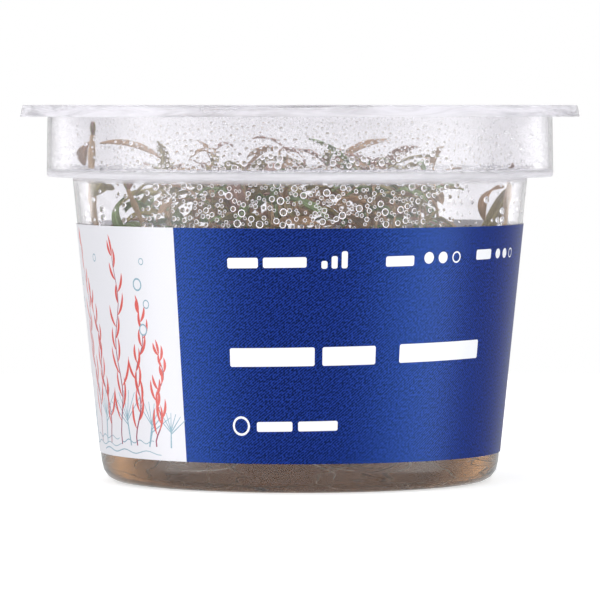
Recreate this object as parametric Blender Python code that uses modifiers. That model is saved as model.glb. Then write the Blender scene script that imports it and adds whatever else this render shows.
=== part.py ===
"""In vitro aquarium plants in their sealed culture cup.

A stepped clear plastic cup holds a bed of nutrient gel and eight rooted plantlets with leafy side shoots.
A thin clear lid is pressed over the flange, and a printed label is wrapped round the tapered body. Metres,
+Z up, with the origin under the middle of the base and the front of the label towards -Y.
"""
import math
import random
from collections import namedtuple

import bmesh
import bpy
from mathutils import Matrix, Vector
from mathutils.bvhtree import BVHTree

MM = 0.001

# Driving dimensions of the pack
TOTAL_HEIGHT = 75.0 * MM
LID_RADIUS = 56.1 * MM
COLLAR_RADIUS_TOP = 50.4 * MM
COLLAR_RADIUS_LOW = 50.6 * MM
COLLAR_BOTTOM = 60.75 * MM
BODY_RADIUS_TOP = 45.45 * MM
BODY_RADIUS_LOW = 39.7 * MM
BASE_CORNER = 4.0 * MM
WALL = 0.9 * MM
FIT_GAP = 0.3 * MM

# Mouth, flange and lid
LID_THICKNESS = 0.6 * MM
LIP_HEIGHT = 2.3 * MM
LIP_FLARE = 0.7 * MM
FLANGE_THICKNESS = 1.0 * MM
FLANGE_RADIUS = LID_RADIUS - LIP_FLARE - LID_THICKNESS
FLANGE_TOP = TOTAL_HEIGHT - LID_THICKNESS - FIT_GAP

# Label
LABEL_BOTTOM = 5.95 * MM
LABEL_TOP = 51.4 * MM
LABEL_THICKNESS = 0.25 * MM
LABEL_GAP = 0.15 * MM

# Gel bed
GEL_TOP = 14.0 * MM
MENISCUS_RISE = 0.8 * MM
MENISCUS_WIDTH = 3.0 * MM

# Round pieces share one count of sides, so that their facets lie parallel
SIDES = 64
LABEL_OPEN_SIDES = 10
CORNER_STEPS = 3
INNER_CORNER_STEPS = 2

# Plantlets. A leaf keeps its distances from the wall, the gel and the stems, except along its own stalk.
ROOT_DEPTH = 4.0 * MM
PLANT_CEILING = 69.3 * MM
LEAF_THICKNESS = 0.4 * MM
LEAF_WIDTH = 4.8 * MM
LEAF_PAIRS = (0.56, 0.78, 0.97)
LEAF_STEPS = 4
STEM_POINTS = 8
STEM_TAPER = 0.4
STEM_ROUNDNESS = 2
AT_WALL_RADIUS = 38.0 * MM
OPEN_COLUMN = 12.0 * MM
LEAF_TO_WALL = 1.0 * MM
LEAF_TO_GEL = 2.0 * MM
LEAF_TO_STEM = 2.0 * MM
LEAF_STALK = 2.5 * MM
SEED = 5

# Side shoots, each one piece with its leaves and with the stem that it grows from
SHOOT_GIRTH = 1.0 * MM
SHOOT_ROUNDNESS = 0
SHOOT_POINTS = 4
SHOOT_PAIRS = (0.45, 0.72, 0.96)
SHOOT_LEAF_LENGTH = 12.0 * MM
SHOOT_LEAF_WIDTH = 4.4 * MM
SHOOT_LEAF_THICKNESS = 0.8 * MM
SHOOT_LEAF_WIDEST = 0.45
SHOOT_TO_SHOOT = 1.6 * MM

# What is tried in turn where a leaf's first place is taken: its size, then its turn and its rise in degrees
LEAF_SHRINKS = (1.0, 0.85, 0.7, 0.55)
LEAF_SHIFTS = (0, 18, -18, 36, -36, 54, -54, 72, -72, 90, -90)
LEAF_TILTS = (0, -20, 20, -40, -60)

Plantlet = namedtuple(
    "Plantlet", "foot_radius foot_turn top_radius top_turn top_height girth sway leaf_turn leaf_length rise droop")

# Radii, heights and lengths in millimetres and turns in degrees, counted from +X towards +Y
PLANTLETS = (
    Plantlet(33.0, 192, 41.4, 184, 69.0, 1.9, 1.0, 345, 13.0, 20, 35),
    Plantlet(22.0, 215, 37.5, 206, 58.5, 1.4, -1.0, 215, 13.0, 50, 130),
    Plantlet(27.0, 262, 31.0, 243, 60.5, 1.4, 3.0, 330, 15.5, 50, 70),
    Plantlet(23.0, 318, 25.0, 303, 61.5, 1.5, -3.2, 20, 16.0, 50, 65),
    Plantlet(32.0, 340, 42.0, 355, 60.0, 1.8, 1.5, 222, 14.0, 15, 100),
    Plantlet(17.0, 15, 24.0, 50, 60.5, 1.5, 3.0, 120, 16.5, 50, 65),
    Plantlet(27.0, 100, 18.0, 72, 62.5, 1.6, -2.5, 10, 17.0, 50, 65),
    Plantlet(16.0, 170, 30.0, 158, 60.0, 1.5, 2.8, 75, 16.0, 50, 70),
)

Shoot = namedtuple("Shoot", "stem leave top_radius top_turn top_height pairs")

# The stem that a shoot grows from, the share of that stem's height where it leaves, where it ends, and how
# many pairs of leaves it has
SHOOTS = (
    Shoot(1, 0.12, 26.0, 189, 58.0, 3),
    Shoot(1, 0.25, 30.0, 172, 55.0, 2),
    Shoot(2, 0.10, 16.0, 222, 59.0, 3),
    Shoot(2, 0.22, 29.0, 226, 57.0, 2),
    Shoot(3, 0.08, 16.0, 268, 59.0, 3),
    Shoot(3, 0.20, 34.0, 261, 57.0, 2),
    Shoot(4, 0.10, 16.0, 318, 58.0, 3),
    Shoot(4, 0.20, 31.0, 306, 58.0, 2),
    Shoot(5, 0.10, 20.0, 352, 59.0, 3),
    Shoot(5, 0.22, 27.0, 330, 56.0, 2),
    Shoot(6, 0.10, 14.0, 25, 60.0, 3),
    Shoot(6, 0.20, 24.0, 15, 57.0, 2),
    Shoot(7, 0.10, 14.0, 118, 58.0, 3),
    Shoot(7, 0.20, 30.0, 66, 59.0, 2),
    Shoot(8, 0.10, 14.0, 180, 59.0, 3),
    Shoot(8, 0.20, 27.0, 118, 57.0, 2),
)


def body_radius(height):
    """Outer radius of the tapered body at a height."""
    share = (height - BASE_CORNER) / (COLLAR_BOTTOM - BASE_CORNER)
    return BODY_RADIUS_LOW + share * (BODY_RADIUS_TOP - BODY_RADIUS_LOW)


def inner_radius(height):
    """Radius of the free space inside the cup at a height."""
    if height > COLLAR_BOTTOM + WALL:
        return COLLAR_RADIUS_TOP - WALL
    return body_radius(height) - WALL


def corner(centre_radius, centre_height, radius, start, end, steps=CORNER_STEPS):
    """Points of a rounded corner of a profile, between two angles in degrees."""
    points = []
    for step in range(steps + 1):
        angle = math.radians(start + (end - start) * step / steps)
        points.append((centre_radius + radius * math.cos(angle), centre_height + radius * math.sin(angle)))
    return points


def polar(radius, turn, height):
    """Point at a radius and a turn in degrees round the cup's axis."""
    angle = math.radians(turn)
    return Vector((radius * math.cos(angle), radius * math.sin(angle), height))


def clear_scene():
    for old in list(bpy.data.objects):
        bpy.data.objects.remove(old, do_unlink=True)


def make_material(name, colour, roughness, alpha=1.0):
    """Principled material from a linear colour; every surface here is plastic, print, gel or plant."""
    material = bpy.data.materials.new(name)
    material.use_nodes = True
    shader = material.node_tree.nodes["Principled BSDF"]
    shader.inputs["Base Color"].default_value = (*colour, 1.0)
    shader.inputs["Roughness"].default_value = roughness
    shader.inputs["Metallic"].default_value = 0.0
    shader.inputs["Alpha"].default_value = alpha
    material.diffuse_color = (*colour, alpha)
    return material


def add_object(name, data, material, collection):
    piece = bpy.data.objects.new(name, data)
    data.materials.append(material)
    collection.objects.link(piece)
    return piece


def turned_piece(name, profile, material, collection, sides=SIDES, angle=2 * math.pi):
    """Piece turned round +Z from (radius, height) points that run down its outer side."""
    mesh = bpy.data.meshes.new(name)
    mesh.from_pydata([(radius, 0.0, height) for radius, height in profile],
                     [(index, index + 1) for index in range(len(profile) - 1)], [])
    piece = add_object(name, mesh, material, collection)
    screw = piece.modifiers.new("Turn", "SCREW")
    screw.axis = "Z"
    screw.angle = angle
    screw.steps = sides
    screw.render_steps = sides
    screw.use_merge_vertices = angle == 2 * math.pi
    screw.merge_threshold = 1e-5
    screw.use_smooth_shade = True
    return piece


def make_cup(material, collection):
    """Clear cup: tapered body, ledge, wider rim section and flat flange, all of one wall thickness."""
    corner_centre = BODY_RADIUS_LOW - BASE_CORNER
    ledge_top = COLLAR_BOTTOM + WALL
    ledge_round = 0.6 * MM
    mouth_radius = COLLAR_RADIUS_TOP - WALL
    collar_inner_low = COLLAR_RADIUS_LOW - WALL
    profile = [(0.0, WALL)]
    profile += corner(corner_centre, BASE_CORNER, BASE_CORNER - WALL, -90, 0, INNER_CORNER_STEPS)
    profile += [
        (body_radius(ledge_top) - WALL, ledge_top),
        (collar_inner_low - ledge_round, ledge_top),
        (collar_inner_low, ledge_top + ledge_round),
        (mouth_radius, FLANGE_TOP),
        (FLANGE_RADIUS, FLANGE_TOP),
        (FLANGE_RADIUS, FLANGE_TOP - FLANGE_THICKNESS),
        (COLLAR_RADIUS_TOP, FLANGE_TOP - FLANGE_THICKNESS),
    ]
    profile += [
        (COLLAR_RADIUS_LOW, COLLAR_BOTTOM + ledge_round),
        (COLLAR_RADIUS_LOW - ledge_round, COLLAR_BOTTOM),
        (BODY_RADIUS_TOP, COLLAR_BOTTOM),
    ]
    profile += corner(corner_centre, BASE_CORNER, BASE_CORNER, 0, -90)
    profile += [(0.0, 0.0)]
    return turned_piece("cup", profile, material, collection)


def make_lid(material, collection):
    """Thin clear lid, flat on top, with its edge turned down over the flange."""
    top_radius = LID_RADIUS - LIP_FLARE
    edge_round = 0.25 * MM
    lip_bottom = TOTAL_HEIGHT - LIP_HEIGHT
    profile = [
        (0.0, TOTAL_HEIGHT),
        (top_radius - edge_round, TOTAL_HEIGHT),
        (top_radius + edge_round / 2, TOTAL_HEIGHT - edge_round),
        (LID_RADIUS, lip_bottom),
        (LID_RADIUS - LID_THICKNESS, lip_bottom),
        (FLANGE_RADIUS + FIT_GAP, TOTAL_HEIGHT - LID_THICKNESS),
        (0.0, TOTAL_HEIGHT - LID_THICKNESS),
    ]
    return turned_piece("lid", profile, material, collection)


def make_label(material, collection):
    """Printed film wrapped round the body, with an open stretch at the back."""
    side_angle = 2 * math.pi / SIDES
    profile = [(body_radius(height) + LABEL_GAP, height) for height in (LABEL_TOP, LABEL_BOTTOM)]
    closed_sides = SIDES - LABEL_OPEN_SIDES
    label = turned_piece("label", profile, material, collection, closed_sides, closed_sides * side_angle)
    label.rotation_euler.z = math.pi / 2 + LABEL_OPEN_SIDES / 2 * side_angle
    film = label.modifiers.new("Film", "SOLIDIFY")
    film.thickness = LABEL_THICKNESS
    film.offset = 1.0
    return label


def make_gel(plantlets, material, collection, cutters):
    """Gel bed with a low meniscus, set round the foot of each stem."""
    low = WALL + FIT_GAP
    edge = inner_radius(GEL_TOP) - FIT_GAP
    profile = [(0.0, GEL_TOP), (edge - MENISCUS_WIDTH, GEL_TOP), (edge, GEL_TOP + MENISCUS_RISE)]
    profile += corner(BODY_RADIUS_LOW - BASE_CORNER, BASE_CORNER, BASE_CORNER - low, 0, -90, INNER_CORNER_STEPS)
    profile += [(0.0, low)]
    gel = turned_piece("gel", profile, material, collection)
    socket_play = 0.4 * MM
    mesh = bpy.data.meshes.new("foot_sockets")
    sockets = bmesh.new()
    for plantlet in plantlets:
        radius = plantlet.girth * MM / 2 + socket_play
        depth = ROOT_DEPTH + 2 * socket_play
        made = bmesh.ops.create_cone(sockets, cap_ends=True, segments=8, radius1=radius, radius2=radius,
                                     depth=2 * depth)
        place = polar(plantlet.foot_radius * MM, plantlet.foot_turn, GEL_TOP)
        bmesh.ops.translate(sockets, verts=made["verts"], vec=place)
    sockets.to_mesh(mesh)
    sockets.free()
    cutter = bpy.data.objects.new("foot_sockets", mesh)
    cutter.hide_render = True
    cutter.display_type = "WIRE"
    cutters.objects.link(cutter)
    cut = gel.modifiers.new("Sockets", "BOOLEAN")
    cut.operation = "DIFFERENCE"
    cut.object = cutter
    return gel


def stem_points(plantlet, count=STEM_POINTS):
    """Points up a stem: straight in the gel, then leaning over to its top with a sway to each side.

    A stem that ends at the wall leans out early and then runs up the wall.
    """
    foot = polar(plantlet.foot_radius * MM, plantlet.foot_turn, 0.0)
    top = polar(plantlet.top_radius * MM, plantlet.top_turn, 0.0)
    sway = (top - foot).cross(Vector((0, 0, 1))).normalized() * plantlet.sway * MM
    bottom = GEL_TOP - ROOT_DEPTH
    rise = plantlet.top_height * MM - GEL_TOP
    at_wall = plantlet.top_radius * MM > AT_WALL_RADIUS
    points = [Vector((foot.x, foot.y, bottom))]
    for step in range(count):
        share = step / (count - 1)
        lean = 1 - (1 - share) ** 2.2 if at_wall else share ** 1.3
        spot = foot.lerp(top, lean) + sway * math.sin(2 * math.pi * share ** 1.3)
        spot.z = GEL_TOP + rise * share
        points.append(spot)
    return points


def shoot_points(shoot, count=SHOOT_POINTS):
    """Points along a side shoot: it leaves the middle of its stem sideways and then rises to its end."""
    stem = stem_points(PLANTLETS[shoot.stem - 1], 48)[1:]
    foot = point_along(stem, shoot.leave)
    top = polar(shoot.top_radius * MM, shoot.top_turn, shoot.top_height * MM)
    points = []
    for step in range(count):
        share = step / (count - 1)
        spot = foot.lerp(top, 1 - (1 - share) ** 1.7)
        spot.z = foot.z + (top.z - foot.z) * share
        points.append(spot)
    return points


def point_along(points, share):
    """Point at a share of the way along a line of evenly spaced points."""
    position = share * (len(points) - 1)
    index = min(int(position), len(points) - 2)
    return points[index].lerp(points[index + 1], position - index)


def add_tube(shape, points, girth, roundness):
    """Tube through the points, thinner towards its end, added to a bmesh with its caps welded on."""
    curve = bpy.data.curves.new("tube", "CURVE")
    curve.dimensions = "3D"
    curve.bevel_depth = girth / 2
    curve.bevel_resolution = roundness
    curve.use_fill_caps = True
    spline = curve.splines.new("POLY")
    spline.points.add(len(points) - 1)
    for index, (node, spot) in enumerate(zip(spline.points, points)):
        node.co = (*spot, 1.0)
        node.radius = 1.0 - STEM_TAPER * index / (len(points) - 1)
    guide = bpy.data.objects.new("tube", curve)
    bpy.context.scene.collection.objects.link(guide)
    mesh = bpy.data.meshes.new_from_object(guide.evaluated_get(bpy.context.evaluated_depsgraph_get()))
    bpy.data.objects.remove(guide, do_unlink=True)
    shape.from_mesh(mesh)
    bpy.data.meshes.remove(mesh)
    bmesh.ops.remove_doubles(shape, verts=shape.verts, dist=1e-6)


def make_stem(name, plantlet, shoots, material, collection, cutters):
    """Round stem that thins towards its top, in one piece with its leafy side shoots."""
    mesh = bpy.data.meshes.new(name)
    shape = bmesh.new()
    add_tube(shape, stem_points(plantlet), plantlet.girth * MM, STEM_ROUNDNESS)
    shape.to_mesh(mesh)
    shape.free()
    stem = add_object(name, mesh, material, collection)
    grown = bpy.data.objects.new(f"{name}_shoots", bpy.data.meshes.new(f"{name}_shoots"))
    shoots.to_mesh(grown.data)
    grown.hide_render = True
    grown.display_type = "WIRE"
    cutters.objects.link(grown)
    join = stem.modifiers.new("Shoots", "BOOLEAN")
    join.operation = "UNION"
    join.object = grown
    join.use_self = True
    return stem


def leaf_spot(base, heading, over, rise, droop, length, along):
    """Spot and normal at a share of a leaf's length, as it rises from its base and bends over along an arc."""
    start, bend = math.radians(rise), math.radians(max(droop, 1))
    slope = start - bend * along
    forward = length / bend * (math.sin(start) - math.sin(slope))
    upward = length / bend * (math.cos(slope) - math.cos(start))
    return base + heading * forward + over * upward, over * math.cos(slope) - heading * math.sin(slope)


def blade(base, turn, roll, rise, droop, length, width, fold=0.25):
    """Sheet of a lance-shaped leaf: it rises from its base, bends over along an arc and folds at its midrib.

    The roll turns the whole blade about the way it is heading.
    """
    sheet = bmesh.new()
    bmesh.ops.create_grid(sheet, x_segments=2, y_segments=LEAF_STEPS, size=0.5)
    heading = polar(1.0, turn, 0.0)
    over = Matrix.Rotation(math.radians(roll), 3, heading) @ Vector((0, 0, 1))
    side = over.cross(heading)
    for vert in sheet.verts:
        along, across = vert.co.y + 0.5, vert.co.x * 2
        spot, normal = leaf_spot(base, heading, over, rise, droop, length, along)
        half = width / 2 * (0.12 + 1.75 * along ** 0.75 * (1 - along) ** 0.85)
        vert.co = spot + (side * across + normal * fold * abs(across)) * half
    sheet.normal_update()
    return sheet


def shoot_leaf(base, turn, rise, droop, length, grow=0.0):
    """Plain lance-shaped leaf of a shoot: a point at each end, and a ridge above and below at its widest.

    What it grows by is the gap that it keeps to its neighbours.
    """
    leaf = bmesh.new()
    bmesh.ops.create_uvsphere(leaf, u_segments=4, v_segments=2, radius=1.0)
    heading = polar(1.0, turn, 0.0)
    up = Vector((0, 0, 1))
    side = up.cross(heading)
    for vert in leaf.verts:
        across, over, end = vert.co
        along = (SHOOT_LEAF_WIDEST, 1.0, 0.0)[round(end)]
        spot, normal = leaf_spot(base, heading, up, rise, droop, length + grow, along)
        vert.co = (spot + side * across * (SHOOT_LEAF_WIDTH / 2 + grow)
                   + normal * over * (SHOOT_LEAF_THICKNESS / 2 + grow))
    leaf.normal_update()
    return leaf


def guard_sheet(shape):
    """Sheet of a leaf with its outline grown by the gap that it keeps to its neighbours."""
    *place, length, width = shape
    return blade(*place, length + FIT_GAP, width + 3 * FIT_GAP)


def guard_tree(sheet):
    """Search tree of both faces of a sheet, each pushed out by half a leaf's thickness and the gap."""
    reach = LEAF_THICKNESS / 2 + FIT_GAP
    spots, faces = [], []
    for offset in (reach, -reach):
        start = len(spots)
        spots += [vert.co + vert.normal * offset for vert in sheet.verts]
        faces += [[start + vert.index for vert in face.verts] for face in sheet.faces]
    return BVHTree.FromPolygons(spots, faces)


def is_inside(spots):
    """True where spots are inside the cup, above the gel and clear of the open column."""
    half_column = OPEN_COLUMN / 2 + FIT_GAP
    for spot in spots:
        if not GEL_TOP + LEAF_TO_GEL < spot.z < PLANT_CEILING - LEAF_THICKNESS:
            return False
        if math.hypot(spot.x, spot.y) > inner_radius(spot.z) - LEAF_TO_WALL:
            return False
        if max(abs(spot.x), abs(spot.y)) < half_column:
            return False
    return True


def is_free(sheet, tree, leaf_trees, lines, own_base, to_line):
    """True where a leaf is inside the cup and clear of the other leaves and of the stems' and shoots' lines."""
    spots = [vert.co for vert in sheet.verts] + [face.calc_center_median() for face in sheet.faces]
    if not is_inside(spots):
        return False
    away = [spot for spot in spots if (spot - own_base).length > LEAF_STALK]
    if any((spot - point).length < to_line for spot in away for line in lines for point in line):
        return False
    return not any(tree.overlap(other) for other in leaf_trees)


def place_leaf(stem, share, turn, plantlet, chance, leaf_trees, lines):
    """Base, turn, length and rise of the first leaf near the wanted turn that clears its neighbours."""
    axis_spot = point_along(stem, share)
    length = plantlet.leaf_length * MM * chance.uniform(0.85, 1.15)
    roll = chance.uniform(-35, 35)
    rise = plantlet.rise + chance.uniform(-15, 15)
    droop = plantlet.droop * chance.uniform(0.7, 1.3)
    width = LEAF_WIDTH * chance.uniform(0.8, 1.15)
    for shrink in LEAF_SHRINKS:
        for shift in LEAF_SHIFTS:
            angle = math.radians(turn + shift)
            stand_off = plantlet.girth * MM / 2 + 1.3 * FIT_GAP
            base = axis_spot + Vector((math.cos(angle), math.sin(angle), 0.0)) * stand_off
            for tilt in LEAF_TILTS:
                shape = (base, turn + shift, roll, rise + tilt, droop, length * shrink, width * shrink ** 0.5)
                sheet = guard_sheet(shape)
                tree = guard_tree(sheet)
                free = is_free(sheet, tree, leaf_trees, lines, base, LEAF_TO_STEM)
                sheet.free()
                if free:
                    leaf_trees.append(tree)
                    return shape
    raise ValueError("no free place for a leaf")


def make_leaf(name, shape, material, collection):
    """Leaf solid: the blade given its thickness."""
    sheet = blade(*shape)
    mesh = bpy.data.meshes.new(name)
    sheet.to_mesh(mesh)
    sheet.free()
    mesh.shade_smooth()
    leaf = add_object(name, mesh, material, collection)
    body = leaf.modifiers.new("Body", "SOLIDIFY")
    body.thickness = LEAF_THICKNESS
    body.offset = 0.0
    return leaf


def shoot_leaf_places(number, pairs, line):
    """Base, turn, rise, droop and length of a shoot's leaves, in pairs, each a quarter turn on from the last.

    A leaf turns on from its place until it stays inside the cup.
    """
    chance = random.Random(number)
    places = []
    for pair, share in enumerate(SHOOT_PAIRS[-pairs:]):
        base = point_along(line, share)
        for half_turn in (0, 180):
            turn = number * 40 + 90 * pair + half_turn
            rise, droop = chance.uniform(25, 50), chance.uniform(60, 100)
            length = SHOOT_LEAF_LENGTH * chance.uniform(0.8, 1.15)
            for shift in LEAF_SHIFTS:
                place = (base, turn + shift, rise, droop, length)
                leaf = shoot_leaf(*place)
                inside = is_inside([vert.co for vert in leaf.verts])
                leaf.free()
                if inside:
                    places.append(place)
                    break
    return places


def grow_shoots(stem_number, lines, leaf_trees):
    """All the side shoots of a stem in one bmesh, without the leaves that would touch another shoot or stem."""
    grown = bmesh.new()
    for number, shoot in enumerate(SHOOTS):
        if shoot.stem != stem_number:
            continue
        add_tube(grown, shoot_points(shoot), SHOOT_GIRTH, SHOOT_ROUNDNESS)
        own_line = shoot_points(shoot, 24)
        others = [line for line in lines if line[0] != own_line[0]]
        for place in shoot_leaf_places(number, shoot.pairs, own_line):
            guard = shoot_leaf(*place, grow=FIT_GAP)
            tree = BVHTree.FromBMesh(guard)
            if is_free(guard, tree, leaf_trees, others, place[0], SHOOT_TO_SHOOT):
                leaf_trees.append(tree)
                mesh = bpy.data.meshes.new("shoot_leaf")
                leaf = shoot_leaf(*place)
                leaf.to_mesh(mesh)
                leaf.free()
                grown.from_mesh(mesh)
                bpy.data.meshes.remove(mesh)
            guard.free()
    return grown


def make_plantlets(stem_material, leaf_materials, collection, cutters):
    """All the stems with their shoots, then the main leaves in pairs, each a quarter turn on from the last."""
    chance = random.Random(SEED)
    stems = [stem_points(plantlet, 48)[1:] for plantlet in PLANTLETS]
    lines = stems + [shoot_points(shoot, 24) for shoot in SHOOTS]
    leaf_trees = []
    for number, plantlet in enumerate(PLANTLETS, start=1):
        shoots = grow_shoots(number, lines, leaf_trees)
        make_stem(f"stem_{number}", plantlet, shoots, stem_material, collection, cutters)
        shoots.free()
    for number, plantlet in enumerate(PLANTLETS, start=1):
        leaf_number = 0
        for pair, share in enumerate(reversed(LEAF_PAIRS)):
            for half_turn in (0, 180):
                leaf_number += 1
                turn = plantlet.leaf_turn + 90 * pair + half_turn
                shape = place_leaf(stems[number - 1], share, turn, plantlet, chance, leaf_trees, lines)
                material = leaf_materials[(number + leaf_number) % len(leaf_materials)]
                make_leaf(f"leaf_{number}_{leaf_number}", shape, material, collection)


def main():
    clear_scene()
    collection = bpy.data.collections.new("in_vitro_plant_cup")
    cutters = bpy.data.collections.new("cutters")
    for group in (collection, cutters):
        bpy.context.scene.collection.children.link(group)
    make_cup(make_material("clear_polypropylene", (0.86, 0.87, 0.93), 0.08, 0.3), collection)
    make_lid(make_material("clear_lid_film", (0.88, 0.88, 0.93), 0.12, 0.3), collection)
    make_label(make_material("printed_label", (0.02, 0.07, 0.3), 0.45), collection)
    make_gel(PLANTLETS, make_material("nutrient_gel", (0.25, 0.18, 0.11), 0.1, 0.6), collection, cutters)
    stem_material = make_material("stem_brown", (0.26, 0.14, 0.08), 0.5)
    leaf_materials = (make_material("leaf_green", (0.09, 0.16, 0.05), 0.45),
                      make_material("leaf_olive", (0.22, 0.21, 0.06), 0.45),
                      make_material("leaf_brown", (0.24, 0.13, 0.08), 0.45))
    make_plantlets(stem_material, leaf_materials, collection, cutters)


main()
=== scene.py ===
"""In vitro aquarium plants in their closed culture cup: the visible model, built round the packed frame.

A stepped clear cup with a clear lid holds a bed of brown nutrient gel and a tangle of rooted plantlets.
Water has condensed on the inside of the cup and lid, and a printed film label is wrapped round the body.
"""
import math
import random
from collections import namedtuple

import bmesh
import bpy
from bpy.props import FloatProperty, FloatVectorProperty, IntProperty, PointerProperty
from mathutils import Matrix, Vector
from mathutils.geometry import delaunay_2d_cdt


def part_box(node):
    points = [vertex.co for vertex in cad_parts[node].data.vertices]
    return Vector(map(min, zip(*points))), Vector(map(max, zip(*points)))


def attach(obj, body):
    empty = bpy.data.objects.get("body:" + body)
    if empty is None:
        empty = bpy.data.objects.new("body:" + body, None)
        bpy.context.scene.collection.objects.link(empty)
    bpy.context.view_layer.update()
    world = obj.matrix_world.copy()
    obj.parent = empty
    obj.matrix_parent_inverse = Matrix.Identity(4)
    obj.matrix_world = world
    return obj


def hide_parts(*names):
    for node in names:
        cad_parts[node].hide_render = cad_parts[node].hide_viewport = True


bl_info = {
    "name": "In vitro plant cup",
    "version": (1, 0, 0),
    "blender": (4, 5, 0),
    "location": "View3D > Sidebar > Plant cup",
    "description": "Builds a closed culture cup of young aquarium plants on nutrient gel",
    "category": "Add Mesh",
}

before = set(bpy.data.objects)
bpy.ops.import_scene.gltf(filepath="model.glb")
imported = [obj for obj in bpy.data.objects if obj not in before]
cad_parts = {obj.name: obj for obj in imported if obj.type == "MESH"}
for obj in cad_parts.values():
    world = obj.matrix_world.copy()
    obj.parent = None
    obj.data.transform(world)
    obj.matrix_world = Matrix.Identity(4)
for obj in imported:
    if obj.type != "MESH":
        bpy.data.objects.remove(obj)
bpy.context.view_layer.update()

MM = 0.001
UP = Vector((0, 0, 1))

# Heights and radii that the frame gives
CUP_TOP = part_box("cup")[1].z
FLANGE_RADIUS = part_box("cup")[1].x
LID_BOTTOM, LID_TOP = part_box("lid")[0].z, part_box("lid")[1].z
LID_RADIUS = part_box("lid")[1].x
LABEL_BOTTOM, LABEL_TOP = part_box("label")[0].z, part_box("label")[1].z
GEL_TOP = 14.0 * MM

# The cup's other sizes
COLLAR_RADIUS_TOP = 50.4 * MM
COLLAR_RADIUS_LOW = 50.6 * MM
COLLAR_BOTTOM = 60.75 * MM
BODY_RADIUS_TOP = 45.45 * MM
BODY_RADIUS_LOW = 39.7 * MM
BASE_CORNER = 4.0 * MM
FLANGE_BOTTOM = CUP_TOP - 1.0 * MM
WALL = 0.9 * MM
LEDGE_TOP = COLLAR_BOTTOM + WALL

# Steps round a turned solid, and round one with ripples
STEPS_ROUND, FINE_STEPS = 160, 240

# The label runs from its left edge, seen from the front, to its right edge; angles count from the front
LABEL_LEFT = math.radians(-151.875)
LABEL_RIGHT = math.radians(151.875)
LABEL_RADIUS = 45.0 * MM

# The plantlets stand as in the solids: radii, heights, girths and sways in mm, and turns in degrees from +X
# towards +Y
Plantlet = namedtuple("Plantlet", "foot_radius foot_turn top_radius top_turn top_height girth sway")
PLANTLETS = (
    Plantlet(33.0, 192, 41.4, 184, 69.0, 1.9, 1.0),
    Plantlet(22.0, 215, 37.5, 206, 58.5, 1.4, -1.0),
    Plantlet(27.0, 262, 31.0, 243, 60.5, 1.4, 3.0),
    Plantlet(23.0, 318, 25.0, 303, 61.5, 1.5, -3.2),
    Plantlet(32.0, 340, 42.0, 355, 60.0, 1.8, 1.5),
    Plantlet(17.0, 15, 24.0, 50, 60.5, 1.5, 3.0),
    Plantlet(27.0, 100, 18.0, 72, 62.5, 1.6, -2.5),
    Plantlet(16.0, 170, 30.0, 158, 60.0, 1.5, 2.8),
)
# The leaf colours by number, and the place of a sprig's stalk after them
GREEN, OLIVE, BRONZE, ROSE, STALK = range(5)
# A side shoot or a sprig takes one of these as its main colour
FAMILIES = (GREEN, OLIVE, OLIVE, BRONZE, BRONZE, ROSE)
# Colour of each main leaf, from the tip of its stem down
LEAF_COLOURS = (
    (2, 2, 1, 1, 0, 2),
    (0, 1, 0, 0, 1, 0),
    (1, 2, 1, 3, 2, 1),
    (1, 0, 2, 1, 0, 1),
    (2, 1, 1, 0, 2, 2),
    (1, 3, 2, 1, 1, 0),
    (2, 1, 0, 2, 1, 3),
    (0, 1, 2, 1, 0, 1),
)

# A stem whose top stands farther out than this runs up the wall
AT_WALL_RADIUS = 38.0 * MM
# Depth of a stem's foot in the gel, the share of its girth that it loses by its top, and its joints: the
# shares of its length where they sit, how far they reach along it and what they add to its radius
ROOT_DEPTH = 4.0 * MM
STEM_TAPER = 0.4
STEM_JOINTS = (0.2, 0.36, 0.56, 0.78, 0.93)
JOINT_REACH = 0.02
JOINT_SWELL = 0.25 * MM
ROOTS_EACH = 5
ROOT_RADIUS = 0.13 * MM

# The side shoots: the stem each one grows from, the share of its height where it leaves, and where it ends
Shoot = namedtuple("Shoot", "stem leave top_radius top_turn top_height pairs")
SHOOTS = (
    Shoot(1, 0.12, 26.0, 189, 58.0, 3),
    Shoot(1, 0.25, 30.0, 172, 55.0, 2),
    Shoot(2, 0.10, 16.0, 222, 59.0, 3),
    Shoot(2, 0.22, 29.0, 226, 57.0, 2),
    Shoot(3, 0.08, 16.0, 268, 59.0, 3),
    Shoot(3, 0.20, 34.0, 261, 57.0, 2),
    Shoot(4, 0.10, 16.0, 318, 58.0, 3),
    Shoot(4, 0.20, 31.0, 306, 58.0, 2),
    Shoot(5, 0.10, 20.0, 352, 59.0, 3),
    Shoot(5, 0.22, 27.0, 330, 56.0, 2),
    Shoot(6, 0.10, 14.0, 25, 60.0, 3),
    Shoot(6, 0.20, 24.0, 15, 57.0, 2),
    Shoot(7, 0.10, 14.0, 118, 58.0, 3),
    Shoot(7, 0.20, 30.0, 66, 59.0, 2),
    Shoot(8, 0.10, 14.0, 180, 59.0, 3),
    Shoot(8, 0.20, 27.0, 118, 57.0, 2),
)
SHOOT_GIRTH = 1.0 * MM
SPRIG_RADIUS = 0.4 * MM
SHOOT_LEAF_WIDTH = 4.4 * MM
SHOOT_LEAF_WIDEST = 0.45
# Turns in degrees that are tried on a shoot's leaf until it stays inside the cup
LEAF_SHIFTS = (0, 18, -18, 36, -36, 54, -54, 72, -72, 90, -90)
# Where pairs of leaves stand up a shoot in the solids, where more are added, and where they stand up a sprig
SHOOT_PAIRS = (0.45, 0.72, 0.96)
SHOOT_EXTRA_PAIRS = (0.3, 0.58, 0.84, 1.0)
SPRIG_PAIRS = (0.25, 0.42, 0.58, 0.7, 0.82, 0.92, 1.0)

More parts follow.
